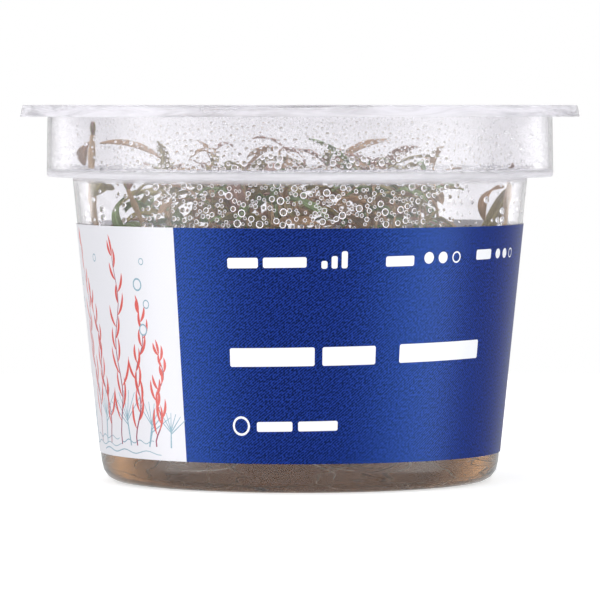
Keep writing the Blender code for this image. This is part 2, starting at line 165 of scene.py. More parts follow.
# The plants stay below the ceilings, off the wall and out of the open column in the middle
PLANT_CEILING = 68.9 * MM
SPRIG_CEILING = 66.0 * MM
BUD_CEILING = 71.5 * MM
OPEN_HALF_COLUMN = 6.3 * MM
LEAF_TO_WALL = 1.0 * MM
LEAF_TO_GEL = 2.0 * MM
# A sprig's end that passes one of these two is brought back, and a root keeps the third off the wall
SPRIG_FARTHEST = 36.0 * MM
SPRIG_HALF_COLUMN = 9.0 * MM
ROOT_TO_WALL = 2.0 * MM

# Radius on which the wall is laid flat, and how near the middles of two drops come as a share of their widths
# together
WALL_ARC = 46.0 * MM
DROP_SPACE = 0.52
FOAM_BEADS = 1400


def linear(code):
    """Linear colour of an sRGB hex value."""
    channels = [int(code[place:place + 2], 16) / 255 for place in (1, 3, 5)]
    return tuple(c / 12.92 if c <= 0.04045 else ((c + 0.055) / 1.055) ** 2.4 for c in channels)


def colour_property(name, description, code):
    return FloatVectorProperty(name=name, description=description, subtype="COLOR", size=3, min=0, max=1,
                               default=linear(code))


def share_property(name, description, value):
    return FloatProperty(name=name, description=description, default=value, min=0, max=1, subtype="FACTOR")


def length_property(name, description, value, low, high):
    return FloatProperty(name=name, description=description, default=value, min=low, max=high, unit="LENGTH")


def count_property(name, description, value, high):
    return IntProperty(name=name, description=description, default=value, min=0, max=high)


class CupSettings(bpy.types.PropertyGroup):
    """Clear plastic of the cup and lid"""
    tint: colour_property("Plastic tint", "Colour that each pass through the plastic leaves", "#FAF9FC")
    roughness: share_property("Roughness", "How much the moulded surface blurs", 0.03)
    haze_tint: colour_property("Haze tint", "Colour of the light that the plastic scatters", "#F5F4F8")
    cup_haze: share_property("Cup haze", "Share of light that the cup's wall scatters", 0.1)
    ledge_haze: share_property("Ledge haze", "Share of light that the cup's ledge scatters", 0.85)
    lid_haze: share_property("Lid haze", "Share of light that the lid scatters", 0.5)
    ripple: length_property("Lid ripple", "Depth of the ripples in the lid's edge", 0.3 * MM, 0, 1 * MM)


class LabelSettings(bpy.types.PropertyGroup):
    """Printed film label"""
    field: colour_property("Field", "Ink of the printed field", "#172972")
    panel: colour_property("Panel", "White of the bare film", "#DEDEE4")
    film: length_property("Film", "Thickness of the film", 0.1 * MM, 0.02 * MM, 0.3 * MM)


class GelSettings(bpy.types.PropertyGroup):
    """Nutrient gel"""
    colour: colour_property("Colour", "Colour that the gel lets pass", "#BC9C54")
    strength: FloatProperty(name="Strength", description="How strongly the gel takes up light", default=62.0,
                            min=0, max=500)


class PlantSettings(bpy.types.PropertyGroup):
    """Leaves, stems and roots"""
    green: colour_property("Green leaf", "Leaves that still grow in the light", "#8CA866")
    olive: colour_property("Olive leaf", "Most of the leaves", "#B3AA6C")
    bronze: colour_property("Bronze leaf", "Older leaves", "#C2A67E")
    rose: colour_property("Rose leaf", "Leaves with a red flush", "#C2A496")
    stem: colour_property("Stem", "Skin of the stems", "#BEA07A")
    root: colour_property("Root", "Young roots", "#EFE6D0")
    sprigs: count_property("Sprigs", "Thin sprigs beside each side shoot", 2, 4)
    leaf_length: length_property("Leaf length", "Length of a sprig's leaf", 12.0 * MM, 4 * MM, 20 * MM)


class WaterSettings(bpy.types.PropertyGroup):
    """Condensed water"""
    wall_drops: count_property("Wall drops", "Drops tried behind the label; 7 times as many above it",
                               1500, 4000)
    mist: count_property("Mist", "Finest drops tried on the rim section", 20000, 30000)
    lid_drops: count_property("Lid drops", "Drops tried under the lid", 1300, 4000)


class StageSettings(bpy.types.PropertyGroup):
    """Floor, light and camera"""
    floor: colour_property("Floor", "Floor", "#F7F7F7")
    distance: length_property("Camera distance", "From the cup's axis to the camera", 1.0, 0.3, 5)


def add_node(tree, kind, inputs=(), **settings):
    """Add a node with its own settings. Its inputs are named, or numbered from the first when they are a row.

    An input is given a value, another node's output, or a node whose first output in use is linked.
    """
    node = tree.nodes.new("ShaderNode" + kind)
    for name, value in settings.items():
        setattr(node, name, value)
    for socket, value in inputs.items() if isinstance(inputs, dict) else enumerate(inputs):
        if isinstance(value, bpy.types.Node):
            value = next(output for output in value.outputs if output.enabled)
        if isinstance(value, bpy.types.NodeSocket):
            tree.links.new(value, node.inputs[socket])
        else:
            node.inputs[socket].default_value = value
    return node


def new_material(name):
    """Material with an empty node tree, and the tree."""
    material = bpy.data.materials.new(name)
    material.use_nodes = True
    material.node_tree.nodes.clear()
    return material, material.node_tree


def rgba(colour, strength=1.0):
    """Colour for a socket, made darker or lighter by a strength and cut off at white."""
    return (*(min(1.0, channel * strength) for channel in colour), 1.0)


def ramp_over(tree, value, stops):
    """Brightness that changes with a value, given as (value, brightness) stops from 0 to 1."""
    ramp = add_node(tree, "ValToRGB", {"Fac": value})
    elements = ramp.color_ramp.elements
    elements.remove(elements[1])
    elements[0].position = stops[0][0]
    for index, (at, level) in enumerate(stops):
        element = elements.new(at) if index else elements[0]
        element.color = (level, level, level, 1)
    return ramp


def clear_plastic(name, settings, haze, through, streaks, flat=False):
    """Injection-moulded clear polypropylene: glossy and nearly colourless, with faint flow waves in the wall.

    Polypropylene is never quite clear: haze gives the share of light that it scatters, as (height, share)
    stops, or as (radius, share) stops on a flat piece. through gives how much of that goes on through the
    wall, and streaks how far flow marks change the haze.
    """
    material, tree = new_material(name)
    place = add_node(tree, "TexCoord").outputs["Object"]
    flow = add_node(tree, "TexNoise", {"Vector": place, "Scale": 60.0, "Detail": 2.0})
    waves = add_node(tree, "Bump", {"Strength": 0.12, "Distance": 0.1 * MM, "Height": flow})
    plastic = add_node(tree, "BsdfPrincipled", {
        "Base Color": rgba(settings.tint), "Roughness": settings.roughness, "IOR": 1.49,
        "Transmission Weight": 1.0, "Normal": waves})
    tint = {"Color": rgba(settings.haze_tint)}
    front, back = add_node(tree, "BsdfDiffuse", tint), add_node(tree, "BsdfTranslucent", tint)
    scatter = add_node(tree, "MixShader", (through, front, back))
    spot = add_node(tree, "VectorMath", (place, (1, 1, 0) if flat else (0, 0, 1)), operation="MULTIPLY")
    reach = add_node(tree, "VectorMath", (spot,), operation="LENGTH")
    level = add_node(tree, "Math", (reach, 1 / LID_TOP), operation="MULTIPLY")
    share = ramp_over(tree, level, [(at / LID_TOP, amount) for at, amount in haze])
    run = add_node(tree, "Mapping", {"Vector": place, "Scale": (1, 1, 9)})
    marks = add_node(tree, "TexNoise", {"Vector": run, "Scale": 45.0, "Detail": 3.0, "Distortion": 1.2})
    streak = add_node(tree, "MapRange", {"Value": marks, "From Min": 0.35, "From Max": 0.65,
                                         "To Min": 1.0 - streaks, "To Max": 1.0 + streaks})
    marked = add_node(tree, "Math", (share, streak), operation="MULTIPLY", use_clamp=True)
    mixed = add_node(tree, "MixShader", (marked, plastic, scatter))
    add_node(tree, "OutputMaterial", {"Surface": mixed})
    return material


def still_water(name):
    """Condensed water: clear and perfectly smooth."""
    material, tree = new_material(name)
    water = add_node(tree, "BsdfPrincipled", {
        "Base Color": (1, 1, 1, 1), "Roughness": 0.0, "IOR": 1.333, "Transmission Weight": 1.0})
    add_node(tree, "OutputMaterial", {"Surface": water})
    return material


def nutrient_gel(settings):
    """Set agar: clear brown all through, so a long path through it is darker, with a moist uneven skin."""
    material, tree = new_material("nutrient_agar_gel")
    place = add_node(tree, "TexCoord").outputs["Object"]
    layers = add_node(tree, "Mapping", {"Vector": place, "Scale": (0.1, 0.1, 1)})
    lumps = add_node(tree, "TexNoise", {"Vector": layers, "Scale": 360.0, "Detail": 1.0})
    skin = add_node(tree, "Bump", {"Strength": 0.12, "Distance": 0.2 * MM, "Height": lumps})
    surface = add_node(tree, "BsdfPrincipled", {
        "Base Color": (1, 1, 1, 1), "Roughness": 0.03, "IOR": 1.335, "Transmission Weight": 1.0,
        "Normal": skin})
    inside = add_node(tree, "VolumeAbsorption", {"Color": rgba(settings.colour),
                                                 "Density": settings.strength})
    add_node(tree, "OutputMaterial", {"Surface": surface, "Volume": inside})
    return material


def printed_ink(name, colour, weave, gloss=(1.0, 1.0, 1.0)):
    """Satin ink on plastic film, with the colour of its gloss. The weave is the field's slanted screen."""
    material, tree = new_material(name)
    flat = add_node(tree, "UVMap", uv_map="print")
    slant = add_node(tree, "Mapping", {"Vector": flat, "Rotation": (0, 0, math.radians(52))})
    # The real screen is about 0.2 mm; it is drawn at 0.45 mm, so that the picture still shows it
    lines = add_node(tree, "TexWave", {"Vector": slant, "Scale": 0.72, "Distortion": 1.0, "Detail": 1.0},
                     wave_profile="SIN").outputs["Fac"]
    grain = add_node(tree, "TexNoise", {"Vector": flat, "Scale": 2.3, "Detail": 1.0})
    both = add_node(tree, "Math", (lines, 0.3, grain), operation="MULTIPLY_ADD")
    mixed = add_node(tree, "MapRange", {"Value": both, "From Min": 0.5, "From Max": 0.8})
    tone = add_node(tree, "Mix", {0: mixed, 6: rgba(colour, 1 - weave), 7: rgba(colour, 1 + weave)},
                    data_type="RGBA")
    tooth = add_node(tree, "Bump", {"Strength": 0.15, "Distance": 0.02 * MM, "Height": mixed})
    ink = add_node(tree, "BsdfPrincipled", {
        "Base Color": tone, "Roughness": 0.34, "IOR": 1.5, "Specular IOR Level": 0.9,
        "Specular Tint": rgba(gloss), "Normal": tooth})
    add_node(tree, "OutputMaterial", {"Surface": ink})
    return material


def leaf_skin(name, colour):
    """Thin soft leaf: satin skin, a pale midrib, side veins, mottling, and light that passes through."""
    material, tree = new_material(name)
    blade = add_node(tree, "SeparateXYZ", (add_node(tree, "UVMap", uv_map="blade"),))
    across, along = blade.outputs["X"], blade.outputs["Y"]
    midrib = add_node(tree, "MapRange", {"Value": across, "From Min": 0.0, "From Max": 0.16,
                                         "To Min": 1.0, "To Max": 0.0})
    slope = add_node(tree, "Math", (across, 0.35, along), operation="MULTIPLY_ADD")
    veins = add_node(tree, "Math", (slope, 70.0), operation="MULTIPLY")
    vein_wave = add_node(tree, "Math", (veins,), operation="SINE")
    place = add_node(tree, "TexCoord").outputs["Object"]
    mottle = add_node(tree, "TexNoise", {"Vector": place, "Scale": 450.0, "Detail": 4.0})
    patches = add_node(tree, "TexNoise", {"Vector": place, "Scale": 90.0, "Detail": 1.0})
    pale = (*(min(1.0, channel * 1.7 + 0.03) for channel in colour), 1.0)
    old = (colour[0], colour[1] * 0.8, colour[2] * 0.7, 1.0)
    base = add_node(tree, "Mix", {0: mottle, 6: rgba(colour, 0.45), 7: pale}, data_type="RGBA")
    aged = add_node(tree, "Mix", {0: patches, 6: base, 7: old}, data_type="RGBA")
    ribbed = add_node(tree, "Mix", {0: midrib, 6: aged, 7: pale}, data_type="RGBA")
    relief = add_node(tree, "Math", (vein_wave, 0.2, midrib), operation="MULTIPLY_ADD")
    bump = add_node(tree, "Bump", {"Strength": 0.5, "Distance": 0.08 * MM, "Height": relief})
    skin = add_node(tree, "BsdfPrincipled", {
        "Base Color": ribbed, "Roughness": 0.4, "IOR": 1.42, "Normal": bump})
    through = add_node(tree, "BsdfTranslucent", {"Color": ribbed})
    mixed = add_node(tree, "MixShader", (0.5, skin, through))
    add_node(tree, "OutputMaterial", {"Surface": mixed})
    return material


def stem_skin(name, colour, strands):
    """Smooth moist stem or root with lengthwise streaks."""
    material, tree = new_material(name)
    place = add_node(tree, "TexCoord").outputs["Object"]
    stretch = add_node(tree, "Mapping", {"Vector": place, "Scale": (1, 1, 0.15)})
    streaks = add_node(tree, "TexNoise", {"Vector": stretch, "Scale": strands, "Detail": 3.0})
    tone = add_node(tree, "Mix", {0: streaks, 6: rgba(colour, 0.5), 7: rgba(colour, 1.6)}, data_type="RGBA")
    bump = add_node(tree, "Bump", {"Strength": 0.4, "Distance": 0.1 * MM, "Height": streaks})
    skin = add_node(tree, "BsdfPrincipled", {
        "Base Color": tone, "Roughness": 0.38, "IOR": 1.42, "Normal": bump})
    add_node(tree, "OutputMaterial", {"Surface": skin})
    return material


def add_piece(name, bm, materials, replaced=()):
    """Make a finished piece from a bmesh: it rides on the root body and replaces the CAD nodes it names."""
    mesh = bpy.data.meshes.new(name)
    bm.to_mesh(mesh)
    bm.free()
    mesh.shade_smooth()
    mesh.set_sharp_from_angle(angle=math.radians(40))
    for material in materials:
        mesh.materials.append(material)
    piece = bpy.data.objects.new(name, mesh)
    bpy.context.scene.collection.objects.link(piece)
    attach(piece, "root")
    if replaced:
        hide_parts(*replaced)
    return piece


def body_radius(height):
    """Outer radius of the cup's tapered body at a height."""
    share = (height - BASE_CORNER) / (COLLAR_BOTTOM - BASE_CORNER)
    return BODY_RADIUS_LOW + share * (BODY_RADIUS_TOP - BODY_RADIUS_LOW)


def inner_radius(height):
    """Radius of the cup's inside at a height."""
    if height > LEDGE_TOP:
        share = (height - LEDGE_TOP) / (CUP_TOP - LEDGE_TOP)
        return COLLAR_RADIUS_LOW + share * (COLLAR_RADIUS_TOP - COLLAR_RADIUS_LOW) - WALL
    return body_radius(height) - WALL


def around(radius, angle, height):
    """Point at an angle from the front of the cup, positive to the right."""
    return Vector((radius * math.sin(angle), -radius * math.cos(angle), height))


def rounded_profile(corners, steps=4):
    """Points of a profile whose corners, given as (radius, height, cut back), are rounded."""
    points = []
    for index, (radius, height, cut) in enumerate(corners):
        here = Vector((radius, height))
        if cut == 0:
            points.append(here)
            continue
        before = Vector(corners[index - 1][:2])
        after = Vector(corners[index + 1][:2])
        start = here + (before - here).normalized() * cut
        end = here + (after - here).normalized() * cut
        for step in range(steps + 1):
            share = step / steps
            points.append(start.lerp(here, share).lerp(here.lerp(end, share), share))
    return points


def turned(profile, steps=STEPS_ROUND, closed=False):
    """Solid turned round the cup's axis from (radius, height) points that start and end on the axis.

    A closed profile stands off the axis and gives a ring.
    """
    bm = bmesh.new()
    verts = [bm.verts.new((radius, 0, height)) for radius, height in profile]
    ends = verts[1:] + (verts[:1] if closed else [])
    edges = [bm.edges.new(pair) for pair in zip(verts, ends)]
    bmesh.ops.spin(bm, geom=verts + edges, cent=(0, 0, 0), axis=(0, 0, 1), dvec=(0, 0, 0),
                   angle=2 * math.pi, steps=steps, use_merge=True, use_duplicate=False)
    bmesh.ops.remove_doubles(bm, verts=bm.verts, dist=0.001 * MM)
    bmesh.ops.recalc_face_normals(bm, faces=bm.faces)
    return bm


def radius_and_angle(vert):
    """A vertex's radius, and its angle from the front of the cup."""
    return math.hypot(vert.co.x, vert.co.y), math.atan2(vert.co.x, -vert.co.y)


def pull(vert, factor):
    """Move a vertex to a multiple of its radius."""
    vert.co.x *= factor
    vert.co.y *= factor


class PLANTCUP_OT_cup(bpy.types.Operator):
    """Build the clear cup with its ledge, rim section and flange"""
    bl_idname = "plantcup.cup"
    bl_label = "Cup"

    def execute(self, context):
        bm = turned(rounded_profile([
            (0.0, WALL, 0),
            (body_radius(WALL) - WALL, WALL, 3.3 * MM),
            (body_radius(LEDGE_TOP) - WALL, LEDGE_TOP, 0.4 * MM),
            (COLLAR_RADIUS_LOW - WALL, LEDGE_TOP, 0.7 * MM),
            (COLLAR_RADIUS_TOP - WALL, CUP_TOP, 0.2 * MM),
            (FLANGE_RADIUS, CUP_TOP, 0.25 * MM),
            (FLANGE_RADIUS, FLANGE_BOTTOM, 0.25 * MM),
            (COLLAR_RADIUS_TOP, FLANGE_BOTTOM, 0.4 * MM),
            (COLLAR_RADIUS_LOW, COLLAR_BOTTOM, 0.7 * MM),
            (BODY_RADIUS_TOP, COLLAR_BOTTOM, 0.35 * MM),
            (body_radius(0.0), 0.0, 4.0 * MM),
            (0.0, 0.0, 0),
        ]))
        settings = context.scene.cup_settings
        haze, ledge = settings.cup_haze, settings.ledge_haze
        stops = ((54 * MM, haze * 0.2), (59.6 * MM, haze * 0.5), (COLLAR_BOTTOM, ledge), (LEDGE_TOP, ledge),
                 (LEDGE_TOP + 0.8 * MM, haze))
        plastic = clear_plastic("clear_moulded_polypropylene", settings, stops, 0.45, 0.15)
        add_piece("clear_cup", bm, [plastic], ["cup"])
        return {"FINISHED"}


class PLANTCUP_OT_lid(bpy.types.Operator):
    """Build the thin clear lid with its rippled, turned-down edge"""
    bl_idname = "plantcup.lid"
    bl_label = "Lid"

    def execute(self, context):
        settings = context.scene.cup_settings
        thickness = 0.6 * MM
        shoulder = LID_RADIUS - 0.7 * MM
        panel_drop = 0.12 * MM
        bm = turned(rounded_profile([
            (0.0, LID_TOP - panel_drop, 0),
            (47.4 * MM, LID_TOP - panel_drop, 0.3 * MM),
            (48.0 * MM, LID_TOP, 0.2 * MM),
            (shoulder, LID_TOP, 0.3 * MM),
            (LID_RADIUS, LID_BOTTOM, 0.12 * MM),
            (LID_RADIUS - thickness * 0.6, LID_BOTTOM, 0.12 * MM),
            (shoulder - thickness * 0.5, LID_TOP - thickness, 0.2 * MM),
            (48.2 * MM, LID_TOP - thickness, 0.2 * MM),
            (47.6 * MM, LID_TOP - thickness - panel_drop, 0.3 * MM),
            (0.0, LID_TOP - thickness - panel_drop, 0),
        ]), FINE_STEPS)
        for vert in bm.verts:
            radius, angle = radius_and_angle(vert)
            if radius < shoulder - 1.5 * MM:
                continue
            ripple = math.sin(9 * angle + 0.6) + 0.7 * math.sin(14 * angle + 2.1) + 0.4 * math.sin(23 * angle)
            down = (LID_TOP - vert.co.z) / (LID_TOP - LID_BOTTOM)
            pull(vert, 1 - settings.ripple / radius * down * (1.1 + 0.5 * ripple) * 0.8)
        haze = settings.cup_haze
        stops = ((45 * MM, haze * 0.6), (50 * MM, haze), (54 * MM, settings.lid_haze))
        plastic = clear_plastic("clear_lid_film", settings, stops, 0.42, 0.5, flat=True)
        add_piece("clear_lid", bm, [plastic], ["lid"])
        return {"FINISHED"}


def circle(centre, radius, count=20):
    """Outline of a disc on the flat label."""
    return [(centre[0] + radius * math.cos(2 * math.pi * step / count),
             centre[1] + radius * math.sin(2 * math.pi * step / count)) for step in range(count)]


def bar(left, low, right, high, tilt=0.0, cut=0.25):
    """Outline of a bar with bevelled corners, in millimetres; it rises by tilt for each millimetre."""
    cut = min(cut, (high - low) / 2.2, (right - left) / 2.2)
    outline = [(left + cut, low), (right - cut, low), (right, low + cut), (right, high - cut),
               (right - cut, high), (left + cut, high), (left, high - cut), (left, low + cut)]
    return [(x, y + tilt * x) for x, y in outline]


def both_sides(path, index, half):
    """Points to the left and right of one point of a path, square to it."""
    (x0, y0), (x, y), (x1, y1) = path[max(index - 1, 0)], path[index], path[min(index + 1, len(path) - 1)]
    way = Vector((x1 - x0, y1 - y0)).normalized()
    return (x - way.y * half, y + way.x * half), (x + way.y * half, y - way.x * half)


def stroke(path, start, end):
    """Outline of a painted stroke that follows a path and narrows from a start width to an end width."""
    last = len(path) - 1
    sides = [both_sides(path, index, (start + (end - start) * index / last) / 2) for index in range(last + 1)]
    return [right for _, right in sides] + [left for left, _ in reversed(sides)]


FIELD, PANEL, WHITE, RED, CRIMSON, TEAL, BACK = range(7)


def print_marks():
    """Plain marks on the printed field, in millimetres from the front: rows of bars, dots and rings."""
    marks = []
    row_tilt = 0.011

    def bars(left, low, height, lengths, gap):
        for length in lengths:
            marks.append((WHITE, bar(left, low, left + length, low + height, row_tilt)))
            left += length + gap

    def ring(x, y, outer, inner):
        marks.append((WHITE, circle((x, y), outer)))
        if inner:
            marks.append((FIELD, circle((x, y), inner)))

    bars(-14.5, 43.9, 2.0, (6.2, 8.6), 1.0)
    for step, height in enumerate((1.5, 2.4, 3.3)):
        marks.append((WHITE, bar(4.2 + 2.0 * step, 43.6, 5.4 + 2.0 * step, 43.6 + height, row_tilt)))
    bars(17.3, 43.7, 2.0, (6.2,), 1.0)
    for x, hollow in ((27.0, 0), (30.5, 0), (34.1, 0.85)):
        ring(x, 45.45, 1.15, hollow)
    bars(40.1, 44.3, 2.0, (5.2,), 1.0)
    for x, hollow in ((48.2, 0), (51.4, 0), (54.6, 0.75)):
        ring(x, 45.8, 1.0, hollow)
    bars(-14.6, 24.9, 3.6, (17.6, 11.2), 1.6)
    bars(21.2, 25.0, 3.6, (22.0,), 1.6)
    ring(-12.6, 13.3, 1.9, 1.45)
    bars(-9.2, 12.3, 1.9, (7.6, 8.4), 1.2)
    return marks


def petal(base, aim, length, width, bend=0.0):
    """Outline of a curved lens-shaped leaf."""
    path = []
    for step in range(9):
        along = step / 8
        turn = aim + bend * along
        path.append((base[0] + length * along * math.cos(turn), base[1] + length * along * math.sin(turn)))
    sides = [both_sides(path, step, width / 2 * math.sin(math.pi * step / 8) ** 0.8) for step in range(1, 8)]
    return [path[0], *(right for _, right in sides), path[-1], *(left for left, _ in reversed(sides))]


def panel_picture():
    """Plain picture on the white panel: swaying ribbon weed, small fans, ripples and rising bubbles."""
    chance = random.Random(11)
    marks = []
    bed = 8.5
    for x, low, length in ((-67, 8.4, 20), (-62, 9.8, 14), (-57, 7.3, 24), (-47, 9.4, 12)):
        path = [(x + length * t / 20, low + 0.35 * math.sin(t * 0.9 + x)) for t in range(21)]
        marks.append((TEAL, stroke(path, 0.25, 0.15)))
    for foot, aim, size in ((-63.5, 1.9, 8.0), (-55.0, 1.4, 12.0), (-43.0, 1.7, 11.0), (-36.5, 1.3, 9.0),
                            (-30.0, 1.5, 7.0)):
        for ray in range(7):
            turn = aim + (ray - 3) * 0.19
            tip = (foot + size * math.cos(turn), bed + size * math.sin(turn))
            middle = (foot + size * 0.5 * math.cos(aim), bed + size * 0.5 * math.sin(turn))
            marks.append((TEAL, stroke([(foot, bed), middle, tip], 0.4, 0.15)))
    for foot, height, lean, size in ((-58.0, 38.5, -3.0, 5.6), (-46.0, 37.0, 2.5, 6.2),
                                     (-51.5, 29.0, -5.0, 5.2), (-40.0, 26.0, 4.0, 5.4),
                                     (-33.5, 18.0, 2.5, 4.6)):
        path = [(foot + lean * (t / 16) ** 1.4 + 0.9 * math.sin(t * 0.8 + foot), 8.6 + height * t / 16)
                for t in range(17)]
        marks.append((CRIMSON, stroke(path, 0.42, 0.2)))
        for step in range(2, 17):
            way = 1 if step % 2 else -1
            aim = math.pi / 2 - way * chance.uniform(0.5, 1.0)
            reach = size * (1.15 - 0.55 * step / 16) * chance.uniform(0.85, 1.15)
            marks.append((RED, petal(path[step], aim, reach, 0.72, way * 0.5)))
        marks.append((RED, petal(path[-1], math.pi / 2, size * 0.7, 0.65, 0.2)))
    for x, y, radius in ((-66.0, 36, 1.1), (-64.4, 40.2, 0.8), (-66.6, 43.2, 0.6), (-35.8, 31.5, 1.2),
                         (-34.4, 36.5, 0.9), (-36.6, 40.3, 1.3), (-35.0, 44.8, 0.7), (-52.4, 45.2, 0.8)):
        marks.append((TEAL, circle((x, y), radius, 16)))
        marks.append((PANEL, circle((x, y), radius * 0.74, 14)))
    return marks


def flat_label(marks, left, right, low, high, edge):
    """Flat label in millimetres, cut into faces along the outlines of its marks, with each face's ink."""
    spots, edges, faces, inks = [], [], [], []

    def add_outline(ink, outline):
        start = len(spots)
        spots.extend(Vector(point) for point in outline)
        faces.append(list(range(start, len(spots))))
        inks.append(ink)

    add_outline(PANEL, [(left, low), (edge, low), (edge, high), (left, high)])
    add_outline(FIELD, [(edge, low), (right, low), (right, high), (edge, high)])
    for ink, outline in marks:
        add_outline(ink, outline)
    # Upright cuts every 1.5 mm let the label bend round the cup
    columns = round((right - left) / 1.5)
    for column in range(1, columns):
        x = left + (right - left) * column / columns
        edges.append((len(spots), len(spots) + 1))
        spots.extend((Vector((x, low)), Vector((x, high))))
    found = delaunay_2d_cdt(spots, edges, faces, 0, 1e-4, True)
    return found[0], [(face, inks[max(sources)]) for face, sources in zip(found[2], found[5]) if sources]


class PLANTCUP_OT_label(bpy.types.Operator):
    """Build the printed film label, wrapped round the body and open at the back"""
    bl_idname = "plantcup.label"
    bl_label = "Label"

    def execute(self, context):
        settings = context.scene.label_settings
        reach = LABEL_RADIUS / MM
        low, high = LABEL_BOTTOM / MM, LABEL_TOP / MM
        left, right = LABEL_LEFT * reach, LABEL_RIGHT * reach
        panel_edge = math.radians(-33.2) * reach
        marks = print_marks() + panel_picture()
        spots, cells = flat_label(marks, left, right, low, high, panel_edge)
        bm = bmesh.new()
        stand_off = 0.2 * MM
        askew = 0.2 * MM
        verts = []
        for x, y in spots:
            angle = x / reach
            height = y * MM + askew * math.sin(angle) * min(1.0, (y - low) / 6, (high - y) / 6)
            verts.append(bm.verts.new(around(body_radius(height) + stand_off, angle, height)))
        print_map = bm.loops.layers.uv.new("print")
        for face, ink in cells:
            made = bm.faces.new([verts[index] for index in face])
            made.material_index = ink
            for loop, index in zip(made.loops, face):
                loop[print_map].uv = spots[index]
        bmesh.ops.recalc_face_normals(bm, faces=bm.faces)
        if self.outwardness(next(iter(bm.faces))) < 0:
            bmesh.ops.reverse_faces(bm, faces=bm.faces)
        bmesh.ops.solidify(bm, geom=list(bm.faces), thickness=settings.film)
        for face in bm.faces:
            if self.outwardness(face) < 0.5:
                face.material_index = BACK
        inks = [
            printed_ink("printed_blue_ink", settings.field, 0.9, linear("#609EFF")),
            printed_ink("white_film", settings.panel, 0.01),
            printed_ink("white_ink", linear("#F4F6FA"), 0.01),
            printed_ink("red_ink", linear("#D04C44"), 0.1),
            printed_ink("crimson_ink", linear("#8E3352"), 0.1),
            printed_ink("teal_ink", linear("#7FA3B4"), 0.1),
            printed_ink("film_back", linear("#E9E9EC"), 0.01),
        ]
        add_piece("printed_label", bm, inks, ["label"])
        return {"FINISHED"}

    def outwardness(self, face):
        """1 where a face looks straight away from the cup's axis, and -1 where it looks at it."""
        centre = face.calc_center_median()
        return face.normal.dot(Vector((centre.x, centre.y, 0)).normalized())


class PLANTCUP_OT_gel(bpy.types.Operator):
    """Build the nutrient gel with its uneven skin and low meniscus"""
    bl_idname = "plantcup.gel"
    bl_label = "Gel"

    def execute(self, context):
        settings = context.scene.gel_settings
        # The gel reaches a hair's breadth into the wall, so that light passes straight from one to the other
        contact = 0.05 * MM
        low = WALL - contact
        edge = inner_radius(GEL_TOP) + contact
        rings = 14
        top = [(edge * step / rings * 0.93, GEL_TOP) for step in range(rings + 1)]
        profile = top + rounded_profile([
            (edge * 0.95, GEL_TOP, 0), (edge - 0.3 * MM, GEL_TOP + 0.2 * MM, 0.25 * MM),
            (edge, GEL_TOP + 0.8 * MM, 0.05 * MM), (body_radius(low) - WALL + contact, low, 3.3 * MM),
            (0.0, low, 0)])
        bm = turned(profile)
        for vert in bm.verts:
            if abs(vert.co.z - GEL_TOP) < 0.01 * MM:
                x, y = vert.co.x / MM, vert.co.y / MM
                swell = math.sin(x * 0.23 + 1) * math.cos(y * 0.19) + math.sin(x * 0.5 - y * 0.4) * 0.4
                vert.co.z += 0.25 * MM * swell
        add_piece("nutrient_gel", bm, [nutrient_gel(settings)], ["gel"])
        return {"FINISHED"}


def merged_copy(node):
    """Copy of a CAD node's mesh with its loose triangles joined."""
    bm = bmesh.new()
    bm.from_mesh(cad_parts[node].data)
    for layer in list(bm.loops.layers.uv):
        bm.loops.layers.uv.remove(layer)
    bmesh.ops.remove_doubles(bm, verts=bm.verts, dist=0.003 * MM)
    bmesh.ops.join_triangles(bm, faces=bm.faces, angle_face_threshold=math.radians(50),
                             angle_shape_threshold=math.radians(60))
    return bm


def polar(radius, turn, height):
    """Point at a radius and a turn in degrees round the cup's axis, counted from +X towards +Y."""
    angle = math.radians(turn)
    return Vector((radius * math.cos(angle), radius * math.sin(angle), height))


def level_way(turn):
    """Level direction at a turn in radians from +X towards +Y."""
    return Vector((math.cos(turn), math.sin(turn), 0))


def point_along(points, share):
    """Point at a share of the way along a line of evenly spaced points."""
    position = share * (len(points) - 1)
    index = min(int(position), len(points) - 2)
    return points[index].lerp(points[index + 1], position - index)


def stem_line(number, count=48):
    """Points up a main stem from the gel: it leans over to its top with a sway to each side.

    A stem that ends at the wall leans out early and then runs up the wall.
    """
    plantlet = PLANTLETS[number - 1]
    foot = polar(plantlet.foot_radius * MM, plantlet.foot_turn, 0.0)
    top = polar(plantlet.top_radius * MM, plantlet.top_turn, 0.0)
    sway = (top - foot).cross(UP).normalized() * plantlet.sway * MM
    at_wall = plantlet.top_radius * MM > AT_WALL_RADIUS
    points = []
    for step in range(count):
        share = step / (count - 1)
        lean = 1 - (1 - share) ** 2.2 if at_wall else share ** 1.3
        spot = foot.lerp(top, lean) + sway * math.sin(2 * math.pi * share ** 1.3)
        spot.z = GEL_TOP + (plantlet.top_height * MM - GEL_TOP) * share
        points.append(spot)
    return points


def shoot_line(foot, top, count=24):
    """Points along a side shoot: it leaves its stem sideways and then rises to its end."""
    points = []
    for step in range(count):
        share = step / (count - 1)
        spot = foot.lerp(top, 1 - (1 - share) ** 1.7)
        spot.z = foot.z + (top.z - foot.z) * share
        points.append(spot)
    return points


def smooth_line(points, per_span=5):
    """Points of a smooth line through the given points."""
    line = []
    for index in range(len(points) - 1):
        a, b = points[max(index - 1, 0)], points[index]
        c, d = points[index + 1], points[min(index + 2, len(points) - 1)]
        for step in range(per_span):
            t = step / per_span
            line.append(0.5 * (2 * b + (c - a) * t + (2 * a - 5 * b + 4 * c - d) * t ** 2
                               + (3 * b - a - 3 * c + d) * t ** 3))
    return line + [points[-1]]


